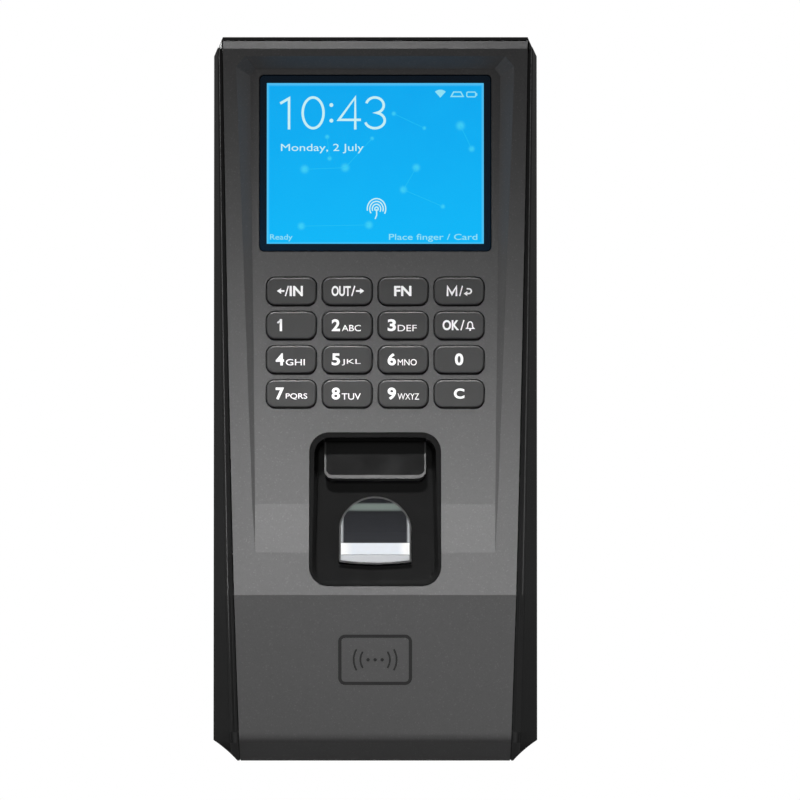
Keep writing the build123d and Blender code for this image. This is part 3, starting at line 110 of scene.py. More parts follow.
class Artwork:
    """Flat shapes of one small thickness, gathered in one mesh and laid on a plane."""

    def __init__(self, thickness):
        self.mesh = bmesh.new()
        self.thickness = thickness

    def polygon(self, points):
        """A filled outline."""
        rings = [[self.mesh.verts.new((x, y, level)) for x, y in points] for level in (0, self.thickness)]
        area = sum(a[0] * b[1] - b[0] * a[1] for a, b in zip(points, points[1:] + points[:1]))
        if area < 0:
            rings = [ring[::-1] for ring in rings]
        self.mesh.faces.new(rings[0][::-1])
        self.mesh.faces.new(rings[1])
        count = len(points)
        for i in range(count):
            k = (i + 1) % count
            self.mesh.faces.new((rings[0][i], rings[0][k], rings[1][k], rings[1][i]))

    def disc(self, x, y, radius):
        """A filled circle."""
        self.polygon(arc(x, y, radius, 0, 345, 23))

    def stroke(self, points, width, closed=False):
        """A line of one width, mitred at its corners."""
        count = len(points)
        rings = []
        for i, (x, y) in enumerate(points):
            here = Vector((x, y))
            before = Vector(points[i - 1]) if i > 0 or closed else None
            after = Vector(points[(i + 1) % count]) if i < count - 1 or closed else None
            along_in = (here - before).normalized() if before is not None else None
            along_out = (after - here).normalized() if after is not None else along_in
            along_in = along_out if along_in is None else along_in
            along = (along_in + along_out).normalized()
            square = Vector((-along.y, along.x))
            mitre = max(0.5, square.dot(Vector((-along_in.y, along_in.x))))
            side = square * width / 2 / mitre
            corners = (here - side, here + side)
            low = [self.mesh.verts.new((c.x, c.y, 0)) for c in corners]
            high = [self.mesh.verts.new((c.x, c.y, self.thickness)) for c in corners]
            rings.append((low[0], high[0], high[1], low[1]))
        for i in range(count if closed else count - 1):
            here, there = rings[i], rings[(i + 1) % count]
            for k in range(4):
                m = (k + 1) % 4
                self.mesh.faces.new((here[k], here[m], there[m], there[k]))
        if not closed:
            self.mesh.faces.new(rings[0][::-1])
            self.mesh.faces.new(rings[-1])

    def letters(self, words, left, bottom, height, width=None, weight=0.0):
        """A line of letters from its lower left corner, scaled to a height and, where given, a width."""
        data = bpy.data.curves.new("letters", "FONT")
        data.body = words
        data.extrude = 0.5
        data.offset = weight
        data.resolution_u = 6
        holder = bpy.data.objects.new("letters", data)
        bpy.context.scene.collection.objects.link(holder)
        bpy.context.view_layer.update()
        shape = bpy.data.meshes.new_from_object(holder.evaluated_get(bpy.context.evaluated_depsgraph_get()))
        bpy.data.objects.remove(holder)
        bpy.data.curves.remove(data)
        xs = [v.co.x for v in shape.vertices]
        ys = [v.co.y for v in shape.vertices]
        tall = height / (max(ys) - min(ys))
        wide = tall if width is None else width / (max(xs) - min(xs))
        shape.transform(Matrix.Translation((-min(xs), -min(ys), 0.5)))
        shape.transform(Matrix.Diagonal((wide, tall, self.thickness, 1)))
        shape.transform(Matrix.Translation((left, bottom, 0)))
        self.mesh.from_mesh(shape)
        bpy.data.meshes.remove(shape)

    def lay(self, name, place, lift, body, material, slot):
        """Makes the piece, lying on a plane, or as far above or below it as lift says."""
        bmesh.ops.remove_doubles(self.mesh, verts=self.mesh.verts, dist=1e-5)
        bmesh.ops.recalc_face_normals(self.mesh, faces=self.mesh.faces)
        data = bpy.data.meshes.new(name)
        self.mesh.to_mesh(data)
        self.mesh.free()
        data.transform(place @ Matrix.Translation((0, 0, lift)))
        data.materials.append(material)
        piece = bpy.data.objects.new(name, data)
        bpy.context.scene.collection.objects.link(piece)
        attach(piece, body)
        return piece


# ---------------------------------------------------------------- material nodes

NOISE_LOW = 0.3  # most of a noise texture lies between these two values
NOISE_HIGH = 0.7


def fresh(name):
    """A material with only an output and a Principled shader, made anew or emptied."""
    material = bpy.data.materials.get(name) or bpy.data.materials.new(name)
    material.use_nodes = True
    tree = material.node_tree
    tree.nodes.clear()
    output = tree.nodes.new("ShaderNodeOutputMaterial")
    shader = tree.nodes.new("ShaderNodeBsdfPrincipled")
    tree.links.new(shader.outputs["BSDF"], output.inputs["Surface"])
    return material, tree, shader


def put(tree, socket, value):
    """Links a socket, or sets its value."""
    if isinstance(value, bpy.types.NodeSocket):
        tree.links.new(value, socket)
    else:
        socket.default_value = value


def add(tree, kind, inputs, **settings):
    """Adds a node with its settings and inputs."""
    node = tree.nodes.new(kind)
    for key, value in settings.items():
        setattr(node, key, value)
    for key, value in inputs.items():
        put(tree, node.inputs[key], value)
    return node


def where(tree):
    """Position on the object, in metres."""
    return add(tree, "ShaderNodeTexCoord", {}).outputs["Object"]


def axes(tree):
    """The three parts of the position."""
    return add(tree, "ShaderNodeSeparateXYZ", {"Vector": where(tree)}).outputs


def noise(tree, scale, detail=2.0, stretch=None):
    """Soft noise, from 0 to 1, with so many features in a metre."""
    vector = where(tree)
    if stretch is not None:
        vector = add(tree, "ShaderNodeMapping", {"Vector": vector, "Scale": stretch}).outputs["Vector"]
    inputs = {"Vector": vector, "Scale": scale, "Detail": detail}
    return add(tree, "ShaderNodeTexNoise", inputs).outputs["Fac"]


def cells(tree, scale):
    """A random value for each tiny cell, from 0 to 1."""
    colour = add(tree, "ShaderNodeTexVoronoi", {"Vector": where(tree), "Scale": scale}).outputs["Color"]
    return add(tree, "ShaderNodeSeparateColor", {"Color": colour}).outputs["Red"]


def span(tree, value, start, end, low, high, smooth=False):
    """Maps start to low and end to high, and holds both ends."""
    kind = "SMOOTHSTEP" if smooth else "LINEAR"
    inputs = {"Value": value, "From Min": start, "From Max": end, "To Min": low, "To Max": high}
    return add(tree, "ShaderNodeMapRange", inputs, interpolation_type=kind).outputs["Result"]


def maths(tree, operation, first, second=0.0):
    """One arithmetic step."""
    node = add(tree, "ShaderNodeMath", {}, operation=operation)
    put(tree, node.inputs[0], first)
    put(tree, node.inputs[1], second)
    return node.outputs[0]


def mixed(tree, share, first, second):
    """A colour between two, by a share from 0 to 1."""
    node = add(tree, "ShaderNodeMix", {}, data_type="RGBA")
    put(tree, node.inputs["Factor"], share)
    for key, value in (("A", first), ("B", second)):
        put(tree, [s for s in node.inputs if s.name == key and s.type == "RGBA"][0], value)
    return [s for s in node.outputs if s.type == "RGBA"][0]


def grey(level, tint=(1, 1, 1)):
    """A colour of one level with a tint."""
    return (level * tint[0], level * tint[1], level * tint[2], 1)


def times(colour, factor):
    """A colour made lighter or darker."""
    return (*(min(1, c * factor) for c in colour[:3]), 1)


def bump(tree, height, depth):
    """A small relief of a depth in millimetres."""
    inputs = {"Height": height, "Strength": 1.0, "Distance": depth * MM}
    return add(tree, "ShaderNodeBump", inputs).outputs["Normal"]


def finish(name, colour, roughness, scale, spread=0.12, relief=0.004, metal=0.0, coat=0.0, stretch=None):
    """A moulded, painted or rolled surface: fine grain in its colour, roughness and relief."""
    material, tree, shader = fresh(name)
    fine = noise(tree, scale, 3.0, stretch)
    broad = noise(tree, scale / 40, 2.0)
    both = maths(tree, "ADD", maths(tree, "MULTIPLY", fine, 0.65), maths(tree, "MULTIPLY", broad, 0.35))
    tone = mixed(tree, both, times(colour, 1 - spread), times(colour, 1 + spread))
    sheen = span(tree, both, NOISE_LOW, NOISE_HIGH, roughness * 0.85, min(1, roughness * 1.15))
    put(tree, shader.inputs["Base Color"], tone)
    put(tree, shader.inputs["Roughness"], sheen)
    put(tree, shader.inputs["Normal"], bump(tree, fine, relief))
    shader.inputs["Metallic"].default_value = metal
    shader.inputs["Coat Weight"].default_value = coat
    shader.inputs["Coat Roughness"].default_value = 0.06
    return material, tree, shader


# ---------------------------------------------------------------- finishes of the case

# Grey plastic with a fine metallic fleck: a random level for each fleck and a soft cloud over them.
PANEL_GREY = grey(0.092, (1.0, 0.99, 1.0))
_, tree, shader = fresh("panel_plastic")
fleck = cells(tree, 5200)
bright_fleck = span(tree, cells(tree, 3900), 0.93, 0.99, 0.0, 1.0)
cloud = noise(tree, 900, 3.0)
level = maths(tree, "ADD", maths(tree, "MULTIPLY", fleck, 0.55), maths(tree, "MULTIPLY", cloud, 0.45))
flat_tone = mixed(tree, level, times(PANEL_GREY, 0.88), times(PANEL_GREY, 1.12))
put(tree, shader.inputs["Base Color"], mixed(tree, bright_fleck, flat_tone, times(PANEL_GREY, 1.25)))
put(tree, shader.inputs["Roughness"], span(tree, level, 0.2, 0.8, 0.40, 0.52))
put(tree, shader.inputs["Normal"], bump(tree, cloud, 0.0012))
shader.inputs["Metallic"].default_value = 0.55

finish("key_plastic", grey(0.041), 0.42, 5200, spread=0.18, relief=0.003, metal=0.25)
finish("cover_plastic", grey(0.02), 0.5, 2600, spread=0.25, relief=0.02)

# Polished black plastic, with faint ripples from the mould and a trace of handling.
for name, black, rough_low, rough_high in (
    ("frame_gloss", 0.006, 0.085, 0.105),
    ("window_smoke", 0.006, 0.16, 0.24),
):
    _, tree, shader = fresh(name)
    wear = noise(tree, 160, 4.0)
    put(tree, shader.inputs["Base Color"], mixed(tree, wear, grey(black * 0.7), grey(black * 1.3)))
    put(tree, shader.inputs["Roughness"], span(tree, wear, 0.35, 0.65, rough_low, rough_high))
    put(tree, shader.inputs["Normal"], bump(tree, noise(tree, 45, 1.0), 0.004))

finish("trim_grey", grey(0.085), 0.34, 3000, relief=0.002, metal=0.2)
finish("plate_steel", grey(0.56, (1.0, 1.0, 1.03)), 0.34, 900, relief=0.004, metal=1.0, stretch=(0.12, 1, 1))
finish("screw_steel", grey(0.5, (1.0, 1.0, 1.03)), 0.27, 3000, relief=0.003, metal=1.0)
finish("can_metal", grey(0.6), 0.3, 1500, relief=0.004, metal=1.0, stretch=(1, 0.2, 1))
finish("tray_metal", grey(0.58, (1.0, 1.0, 1.02)), 0.36, 1500, relief=0.003, metal=1.0)
finish("battery_metal", grey(0.68), 0.2, 2500, relief=0.002, metal=1.0)
finish("copper", (0.72, 0.36, 0.19, 1), 0.32, 2500, relief=0.003, metal=1.0)
finish("foam_black", grey(0.018), 0.9, 4200, spread=0.4, relief=0.05)
finish("flap_rubber", grey(0.02), 0.72, 3000, spread=0.25, relief=0.012)
finish("silicone_grey", grey(0.33, (0.98, 1.0, 1.0)), 0.6, 2500, relief=0.006)
finish("socket_black", grey(0.02), 0.48, 2800, spread=0.25, relief=0.01)
finish("chip_black", grey(0.018), 0.55, 5000, spread=0.35, relief=0.006)
finish("speaker_black", grey(0.028), 0.6, 2600, spread=0.3, relief=0.01)
finish("sensor_black", grey(0.014), 0.38, 3600, spread=0.3, relief=0.005)
finish("relay_blue", (0.015, 0.075, 0.28, 1), 0.32, 2400, relief=0.004, coat=0.2)
finish("terminal_green", (0.015, 0.2, 0.08, 1), 0.42, 2600, relief=0.008)
finish("button_white", grey(0.68, (1.0, 1.0, 0.97)), 0.45, 2600, spread=0.06, relief=0.005)
finish("backlight_white", grey(0.82, (0.98, 1.0, 1.02)), 0.3, 2600, spread=0.05, relief=0.002)
finish("lamp_resin", grey(0.78, (1.0, 1.0, 0.95)), 0.16, 2600, spread=0.06, relief=0.002, coat=0.5)
finish("film_amber", (0.5, 0.24, 0.05, 1), 0.26, 1800, relief=0.003, coat=0.3)

# Solder mask over copper: broad darker fields with fine tracks between them.
_, tree, shader = fresh("board_green")
tracks = add(tree, "ShaderNodeTexBrick", {"Vector": where(tree), "Scale": 420.0, "Mortar Size": 0.06})
fields = noise(tree, 120, 1.0)
mask_tone = mixed(tree, span(tree, fields, 0.45, 0.55, 0, 1), (0.008, 0.075, 0.03, 1), (0.014, 0.12, 0.05, 1))
put(tree, shader.inputs["Base Color"], mixed(tree, tracks.outputs["Fac"], mask_tone, (0.03, 0.2, 0.08, 1)))
put(tree, shader.inputs["Roughness"], span(tree, fields, NOISE_LOW, NOISE_HIGH, 0.24, 0.36))
put(tree, shader.inputs["Normal"], bump(tree, tracks.outputs["Fac"], 0.01))
shader.inputs["Coat Weight"].default_value = 0.3

# ---------------------------------------------------------------- screen

SCREEN_HALF_X = 27.0
SCREEN_HALF_UP = 20.1
screen = front_plane("lcd_glass")
screen_up = Vector((screen[0][1], screen[1][1], screen[2][1])).normalized()
screen_middle = Vector((screen[0][3], screen[1][3], screen[2][3]))


def screen_place(tree):
    """Position on the screen in mm, across and up from its middle, as two sockets."""
    local = add(
        tree, "ShaderNodeVectorMath", {0: where(tree), 1: tuple(screen_middle)}, operation="SUBTRACT"
    ).outputs["Vector"]
    up = add(tree, "ShaderNodeVectorMath", {0: local, 1: tuple(screen_up)}, operation="DOT_PRODUCT")
    x = add(tree, "ShaderNodeSeparateXYZ", {"Vector": local}).outputs["X"]
    return maths(tree, "DIVIDE", x, MM), maths(tree, "DIVIDE", up.outputs["Value"], MM)


def edge_distance(tree, x, up, half_x, half_up):
    """How far inside a rectangle a point is, in mm, negative outside."""
    side = maths(tree, "SUBTRACT", half_x, maths(tree, "ABSOLUTE", x))
    rise = maths(tree, "SUBTRACT", half_up, maths(tree, "ABSOLUTE", up))
    return maths(tree, "MINIMUM", side, rise)


# Clear glass with a printed border behind it, black with a trace of blue.
BORDER_DARK = (0.0005, 0.009, 0.022, 1)
BORDER_LIGHT = (0.001, 0.012, 0.028, 1)
BORDER_BLUR = 0.06
CLEAR_ALPHA = 0.035
_, tree, shader = fresh("lens_glass")
x, up = screen_place(tree)
inside = edge_distance(tree, x, up, SCREEN_HALF_X, SCREEN_HALF_UP)
border = span(tree, inside, -BORDER_BLUR, BORDER_BLUR, 1.0, CLEAR_ALPHA)
smear = noise(tree, 90, 3.0)
put(tree, shader.inputs["Alpha"], border)
put(tree, shader.inputs["Base Color"], mixed(tree, smear, BORDER_DARK, BORDER_LIGHT))
put(tree, shader.inputs["Roughness"], span(tree, smear, NOISE_LOW, NOISE_HIGH, 0.06, 0.12))

# The lit picture: a blue field that gets lighter downwards, a thin light edge and soft points of light.
POINTS = (
    (-17.6, -1.3, 1.5),
    (-7.5, -0.9, 1.5),
    (10.2, -0.9, 1.4),
    (7.0, -6.4, 1.3),
    (-18.4, -15.5, 1.3),
    (-1.6, -15.2, 1.4),
    (21.2, 9.6, 1.6),
    (24.0, 3.8, 1.1),
    (-12.0, 6.8, 0.8),
    (-0.8, 6.4, 0.7),
    (-11.4, 1.4, 0.8),
    (4.6, 12.6, 0.8),
    (12.2, 9.0, 0.7),
    (16.8, -10.6, 0.8),
)
_, tree, shader = fresh("display_glass")
x, up = screen_place(tree)
field = mixed(
    tree,
    span(tree, up, SCREEN_HALF_UP, -SCREEN_HALF_UP, 0.0, 1.0),
    (0.005, 0.415, 0.925, 1),
    (0.004, 0.505, 1.0, 1),
)
patches = noise(tree, 130, 3.0)
field = mixed(tree, span(tree, patches, 0.35, 0.75, 0.0, 0.22), field, (0.008, 0.52, 1.0, 1))
glow = None
for point_x, point_up, radius in POINTS:
    offset_x = maths(tree, "SUBTRACT", x, point_x)
    offset_up = maths(tree, "SUBTRACT", up, point_up)
    square_x = maths(tree, "MULTIPLY", offset_x, offset_x)
    square_up = maths(tree, "MULTIPLY", offset_up, offset_up)
    square = maths(tree, "ADD", square_x, square_up)
    spot = span(tree, maths(tree, "SQRT", square), radius, 0.1 * radius, 0.0, 0.5, smooth=True)
    glow = spot if glow is None else maths(tree, "MAXIMUM", glow, spot)
field = mixed(tree, glow, field, (0.10, 0.85, 1.0, 1))
edge = span(tree, edge_distance(tree, x, up, SCREEN_HALF_X, SCREEN_HALF_UP), 0.7, 0.15, 0.0, 0.35)
field = mixed(tree, edge, field, (0.25, 0.8, 1.0, 1))
put(tree, shader.inputs["Emission Color"], field)
shader.inputs["Emission Strength"].default_value = 1.0
shader.inputs["Base Color"].default_value = (0, 0, 0, 1)
shader.inputs["Roughness"].default_value = 0.4
shader.inputs["Specular IOR Level"].default_value = 0.1


def lit(name, colour, strength):
    """A lit part of the picture, with the faint mottle of its pixels."""
    material, tree, shader = fresh(name)
    mottle = noise(tree, 2600, 1.0)
    put(tree, shader.inputs["Emission Color"], mixed(tree, mottle, times(colour, 0.92), times(colour, 1.06)))
    shader.inputs["Emission Strength"].default_value = strength
    shader.inputs["Base Color"].default_value = (0, 0, 0, 1)
    shader.inputs["Roughness"].default_value = 0.3
    return material


bright_ink = lit("picture_white", (0.62, 0.93, 1.0, 1), 1.0)
soft_ink = lit("picture_pale", (0.30, 0.80, 1.0, 1), 1.0)
faint_ink = lit("picture_faint", (0.012, 0.56, 1.0, 1), 1.0)

PICTURE_THICKNESS = 0.04
PICTURE_LIFT = 0.03


def on_screen(art, name, ink, lift=PICTURE_LIFT):
    """Lays artwork on the display's front."""
    return art.lay(name, screen, lift, "terminal", ink, "display_glass")


# The time, drawn with one thin line.
TIME_BOTTOM = 8.95
TIME_HEIGHT = 7.7
TIME_STROKE = 0.62
time_art = Artwork(PICTURE_THICKNESS)
top = TIME_BOTTOM + TIME_HEIGHT
middle = TIME_BOTTOM + TIME_HEIGHT / 2
time_art.stroke([(-23.7, top - 1.5), (-21.5, top - 0.25), (-21.5, TIME_BOTTOM - 0.3)], TIME_STROKE)
time_art.stroke(arc(-15.5, middle, 2.6, 0, 350, 35, TIME_HEIGHT / 2), TIME_STROKE, closed=True)
for level in (TIME_BOTTOM + 1.9, top - 1.9):
    time_art.disc(-10.95, level, 0.48)
time_art.stroke(
    [(-3.6, TIME_BOTTOM + 2.1), (-9.1, TIME_BOTTOM + 2.1), (-5.0, top), (-5.0, TIME_BOTTOM - 0.3)],
    TIME_STROKE,
)
upper = arc(-0.1, top - 1.95, 2.2, 165, -90, 20, 1.95)
lower = arc(-0.1, TIME_BOTTOM + 1.95, 2.45, 90, -165, 20, 1.95)
time_art.stroke([*upper[:-1], (-0.1, middle), *lower[1:]], TIME_STROKE)
on_screen(time_art, "picture_time", bright_ink)

date_art = Artwork(PICTURE_THICKNESS)
date_art.letters("Monday, 2 July", -23.5, 2.7, 2.35, 20.6)
on_screen(date_art, "picture_date", bright_ink)

# Status signs: signal, card and battery.
sign_art = Artwork(PICTURE_THICKNESS)
SIGN_UP = 17.4
sign_art.polygon([(16.2, SIGN_UP - 0.8), *arc(16.2, SIGN_UP - 0.8, 2.0, 48, 132, 10)])
sign_art.stroke(
    [(18.9, SIGN_UP - 0.5), (19.5, SIGN_UP + 0.6), (21.3, SIGN_UP + 0.6), (21.9, SIGN_UP - 0.5)],
    0.32,
    closed=True,
)
sign_art.stroke(rounded(2.2, 1.2, 0.25, 3, 23.9, SIGN_UP), 0.28, closed=True)
sign_art.polygon(
    [(25.15, SIGN_UP - 0.3), (25.4, SIGN_UP - 0.3), (25.4, SIGN_UP + 0.3), (25.15, SIGN_UP + 0.3)]
)
on_screen(sign_art, "picture_signs", soft_ink)

# A plain fingerprint sign of nested arches.
print_art = Artwork(PICTURE_THICKNESS)
PRINT_X = 0.3
PRINT_UP = -11.2
for radius, start, end in ((0.42, -60, 240), (1.05, -35, 205), (1.68, -20, 215), (2.3, -28, 190)):
    print_art.stroke(arc(PRINT_X, PRINT_UP, radius, start, end, 22, radius * 1.12), 0.3)
print_art.stroke(
    [(PRINT_X, PRINT_UP - 0.1), (PRINT_X + 0.05, PRINT_UP - 1.6), (PRINT_X - 0.35, PRINT_UP - 2.5)],
    0.3,
)
on_screen(print_art, "picture_emblem", bright_ink)

HINT_WEIGHT = 0.006
hint_art = Artwork(PICTURE_THICKNESS)
hint_art.letters("Ready", -26.2, -19.3, 1.75, 5.6, weight=HINT_WEIGHT)
hint_art.letters("Place finger / Card", 3.4, -19.4, 1.95, 22.0, weight=HINT_WEIGHT)
on_screen(hint_art, "picture_hints", soft_ink)

# Faint lines that join some of the points of light.
link_art = Artwork(PICTURE_THICKNESS / 2)
for first, second in ((0, 1), (2, 3), (5, 4), (6, 7), (8, 10), (1, 9), (3, 13), (11, 12)):
    link_art.stroke([POINTS[first][:2], POINTS[second][:2]], 0.14)
on_screen(link_art, "picture_links", faint_ink, PICTURE_LIFT / 3)

# ---------------------------------------------------------------- key legends

LEGEND_THICKNESS = 0.03
DIGIT_HEIGHT = 3.0
LETTER_HEIGHT = 1.55
WORD_HEIGHT = 2.55
LEFT = -3.85
BOLD = 0.03
BOLDER = 0.035
SLASH_LINE = 0.3
legend_ink = finish("legend_ink", grey(0.80), 0.5, 3500, spread=0.05, relief=0.002)[0]


def bell(art, x, bottom):
    """A small bell."""
    art.stroke(
        [(x - 0.95, bottom + 0.45), (x - 0.62, bottom + 0.75), *arc(x, bottom + 1.35, 0.58, 180, 0, 10, 0.75)]
        + [(x + 0.62, bottom + 0.75), (x + 0.95, bottom + 0.45)],
        0.3,
        closed=True,
    )
    art.disc(x, bottom + 0.1, 0.24)


def arrow(art, tip, tail, level):
    """A level arrow with a filled head."""
    side = math.copysign(1.05, tail - tip)
    art.stroke([(tip + side * 0.8, level), (tail, level)], 0.42)
    art.polygon([(tip, level), (tip + side, level + 0.72), (tip + side, level - 0.72)])


def slash(art, foot, head):
    """A slash as tall as the words, from its foot across to its head."""
    art.stroke([(foot, -WORD_HEIGHT / 2), (head, WORD_HEIGHT / 2)], SLASH_LINE)


def legend(key, shapes):
    """Lays a legend on a key's cap."""
    art = Artwork(LEGEND_THICKNESS)
    shapes(art)
    art.lay(f"legend_{key[4:]}", front_plane(key), 0.0, key, legend_ink, "key_plastic")


def digit_shapes(digit, small):
    """A digit with its small letters."""

    def draw(art):
        if digit == "1":
            foot = LEFT + 1.25
            art.stroke([(foot, -DIGIT_HEIGHT / 2), (foot, DIGIT_HEIGHT / 2)], 0.58)
            art.stroke([(foot + 0.1, DIGIT_HEIGHT / 2 - 0.2), (foot - 0.85, DIGIT_HEIGHT / 2 - 0.95)], 0.45)
            return
        art.letters(digit, LEFT, -DIGIT_HEIGHT / 2, DIGIT_HEIGHT, 2.05, weight=BOLD)
        if small:
            spread = 5.3 if len(small) > 3 else 4.7
            art.letters(small, LEFT + 2.5, -DIGIT_HEIGHT / 2, LETTER_HEIGHT, spread)

    return draw


def in_shapes(art):
    """An arrow to the left, a slash and the word."""
    arrow(art, -3.6, -1.75, 0.0)
    slash(art, -1.5, -0.75)
    art.letters("IN", -0.45, -WORD_HEIGHT / 2, WORD_HEIGHT, 3.3, weight=BOLD)


def out_shapes(art):
    """The word, a slash and an arrow to the right."""
    art.letters("OUT", -3.9, -WORD_HEIGHT / 2, WORD_HEIGHT, 4.75, weight=BOLD)
    slash(art, 1.1, 1.85)
    arrow(art, 4.2, 2.15, 0.0)


def function_shapes(art):
    """Two letters in the middle."""
    art.letters("FN", -2.25, -WORD_HEIGHT / 2, WORD_HEIGHT, 4.3, weight=BOLD)


def menu_shapes(art):
    """A letter, a slash and a return arrow."""
    art.stroke(
        [
            (-2.85, -WORD_HEIGHT / 2),
            (-2.85, WORD_HEIGHT / 2 - 0.2),
            (-1.75, -WORD_HEIGHT / 2 + 0.5),
            (-0.65, WORD_HEIGHT / 2 - 0.2),
            (-0.65, -WORD_HEIGHT / 2),
        ],
        0.48,
    )
    slash(art, 0.15, 0.85)
    art.stroke([(1.9, 0.55), *arc(2.45, -0.05, 0.6, 90, -90, 8), (1.95, -0.65)], 0.36)
    art.polygon([(1.15, -0.65), (2.05, -0.05), (2.05, -1.25)])


def ok_shapes(art):
    """Two letters, a slash and a bell."""
    art.letters("OK", -4.1, -WORD_HEIGHT / 2, WORD_HEIGHT, 4.1, weight=BOLD)
    slash(art, 0.45, 1.2)
    bell(art, 2.75, -WORD_HEIGHT / 2)


def zero_shapes(art):
    """A nought in the middle."""
    art.letters("0", -1.05, -DIGIT_HEIGHT / 2, DIGIT_HEIGHT, 2.1, weight=BOLDER)


def clear_shapes(art):
    """A letter in the middle."""
    art.letters("C", -1.3, -WORD_HEIGHT / 2, WORD_HEIGHT, 2.6, weight=BOLDER)


LEGENDS = {
    "key_in": in_shapes,
    "key_out": out_shapes,
    "key_fn": function_shapes,
    "key_menu": menu_shapes,
    "key_ok": ok_shapes,
    "key_0": zero_shapes,
    "key_clear": clear_shapes,
}
SMALL_LETTERS = ("", "ABC", "DEF", "GHI", "JKL", "MNO", "PQRS", "TUV", "WXYZ")
for number, small in enumerate(SMALL_LETTERS, 1):
    LEGENDS[f"key_{number}"] = digit_shapes(str(number), small)
for key, shapes in LEGENDS.items():
    legend(key, shapes)

# ---------------------------------------------------------------- finger bay

# Dark optical glass with painted light: painted highlights along its two side edges, a painted reflection as
# a pale band under the top of the arch, and painted shade that darkens it towards its top.
REFLECTION_BAND_STARTS = (1.1 * MM, 1.6 * MM)
REFLECTION_BAND_ENDS = (2.7 * MM, 3.3 * MM)
prism_low, prism_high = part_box("sensor_prism")
prism_half = (prism_high.x - prism_low.x) / 2
_, tree, shader = fresh("prism_glass")
parts = axes(tree)
side = maths(tree, "ABSOLUTE", parts["X"])
# Painted highlight: the glass is made lighter along its two side edges.
painted_edge_highlight = span(tree, side, prism_half - 0.75 * MM, prism_half - 0.3 * MM, 0.0, 1.0)
# Painted reflection: a pale band just under the top of the glass, mixed into its colour.
below_top = maths(tree, "SUBTRACT", prism_high.z, parts["Z"])
painted_reflection_band = maths(
    tree,
    "MULTIPLY",
    span(tree, below_top, *REFLECTION_BAND_STARTS, 0.0, 1.0),
    span(tree, below_top, *REFLECTION_BAND_ENDS, 1.0, 0.0),
)
# Painted shade: the glass colour is darker towards its top and lighter towards its foot.
painted_shade_tone = mixed(
    tree,
    span(tree, parts["Z"], prism_high.z, prism_low.z, 0.0, 1.0),
    grey(0.007, (0.95, 1.0, 1.15)),
    grey(0.016, (0.95, 1.0, 1.15)),
)
tone = mixed(tree, maths(tree, "MULTIPLY", painted_reflection_band, 0.85), painted_shade_tone, (0.10, 0.12, 0.11, 1))
tone = mixed(tree, maths(tree, "MULTIPLY", painted_edge_highlight, 0.75), tone, grey(0.30, (0.97, 1.0, 1.03)))
put(tree, shader.inputs["Base Color"], tone)
put(tree, shader.inputs["Roughness"], span(tree, noise(tree, 240, 3.0), NOISE_LOW, NOISE_HIGH, 0.10, 0.18))

# The lit bar, brightest at its two ends.
BAR_MIDDLE = (0.74, 0.79, 0.86, 1)
BAR_ENDS = (1.0, 1.0, 1.0, 1)
BAR_STRENGTH = 0.85
bar_low, bar_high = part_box("sensor_light_bar")
bar_half = (bar_high.x - bar_low.x) / 2
_, tree, shader = fresh("light_white")
side = maths(tree, "ABSOLUTE", axes(tree)["X"])
bar_tone = mixed(
    tree,
    span(tree, side, bar_half - 3.2 * MM, bar_half - 0.8 * MM, 0.0, 1.0, smooth=True),
    BAR_MIDDLE,
    BAR_ENDS,
)
cloudy = noise(tree, 700, 2.0)
dimmer = span(tree, cloudy, NOISE_LOW, NOISE_HIGH, 0.0, 0.25)
put(tree, shader.inputs["Emission Color"], mixed(tree, dimmer, bar_tone, grey(0.66)))
shader.inputs["Emission Strength"].default_value = BAR_STRENGTH
put(tree, shader.inputs["Base Color"], mixed(tree, cloudy, grey(0.05), grey(0.07)))
shader.inputs["Roughness"].default_value = 0.35

finish("lip_grey", grey(0.25, (0.98, 1.0, 1.04)), 0.42, 2400, spread=0.06, relief=0.002)

# ---------------------------------------------------------------- card mark

# Black ink in the engraved mark on the chin: a frame, three dots and two pairs of waves.
CARD_MARK_Z = -64.5
BARE_SPOT_X = 7  # inside the frame and beside the waves, where the panel's surface is unbroken
MARK_DEPTH = 0.25
INK_CLEARANCE = 0.03
FRAME_WIDTH = 18.3
FRAME_HEIGHT = 12.7
FRAME_RADIUS = 1.75
FRAME_LINE = 0.85
WAVE_LINE = 0.5
DOT_RADIUS = 0.45
DOT_PITCH = 1.75
WAVES = ((3.65, 34), (5.3, 30))
mark_ink = finish("mark_ink", grey(0.006), 0.55, 3500, spread=0.2, relief=0.002)[0]
mark = Artwork(MARK_DEPTH - INK_CLEARANCE)
mark.stroke(
    rounded(FRAME_WIDTH - FRAME_LINE, FRAME_HEIGHT - FRAME_LINE, FRAME_RADIUS - FRAME_LINE / 2),
    FRAME_LINE - INK_CLEARANCE,
    closed=True,
)
for place in (-1, 0, 1):
    mark.disc(place * DOT_PITCH, 0, DOT_RADIUS - INK_CLEARANCE / 2)
for radius, reach in WAVES:
    for turn in (0, 180):
        mark.stroke(arc(0, 0, radius, turn - reach, turn + reach), WAVE_LINE - INK_CLEARANCE)
mark.lay(
    "card_mark_ink",
    plane_on("front_panel", BARE_SPOT_X * MM, CARD_MARK_Z * MM),
    -MARK_DEPTH,
    "terminal",
    mark_ink,
    "panel_plastic",
)

# ---------------------------------------------------------------- floor, light and camera

FLOOR_Z = -1.3  # such a terminal hangs at chest height
FLOOR_RADIUS = 1.6
floor_mesh = bmesh.new()
bmesh.ops.create_circle(floor_mesh, cap_ends=True, segments=96, radius=FLOOR_RADIUS)
floor_data = bpy.data.meshes.new("floor")
floor_mesh.to_mesh(floor_data)
floor_mesh.free()
floor = bpy.data.objects.new("floor", floor_data)
floor.location.z = FLOOR_Z
bpy.context.scene.collection.objects.link(floor)
floor_data.materials.append(finish("floor_paint", grey(0.82), 0.7, 60, spread=0.02, relief=0.01)[0])


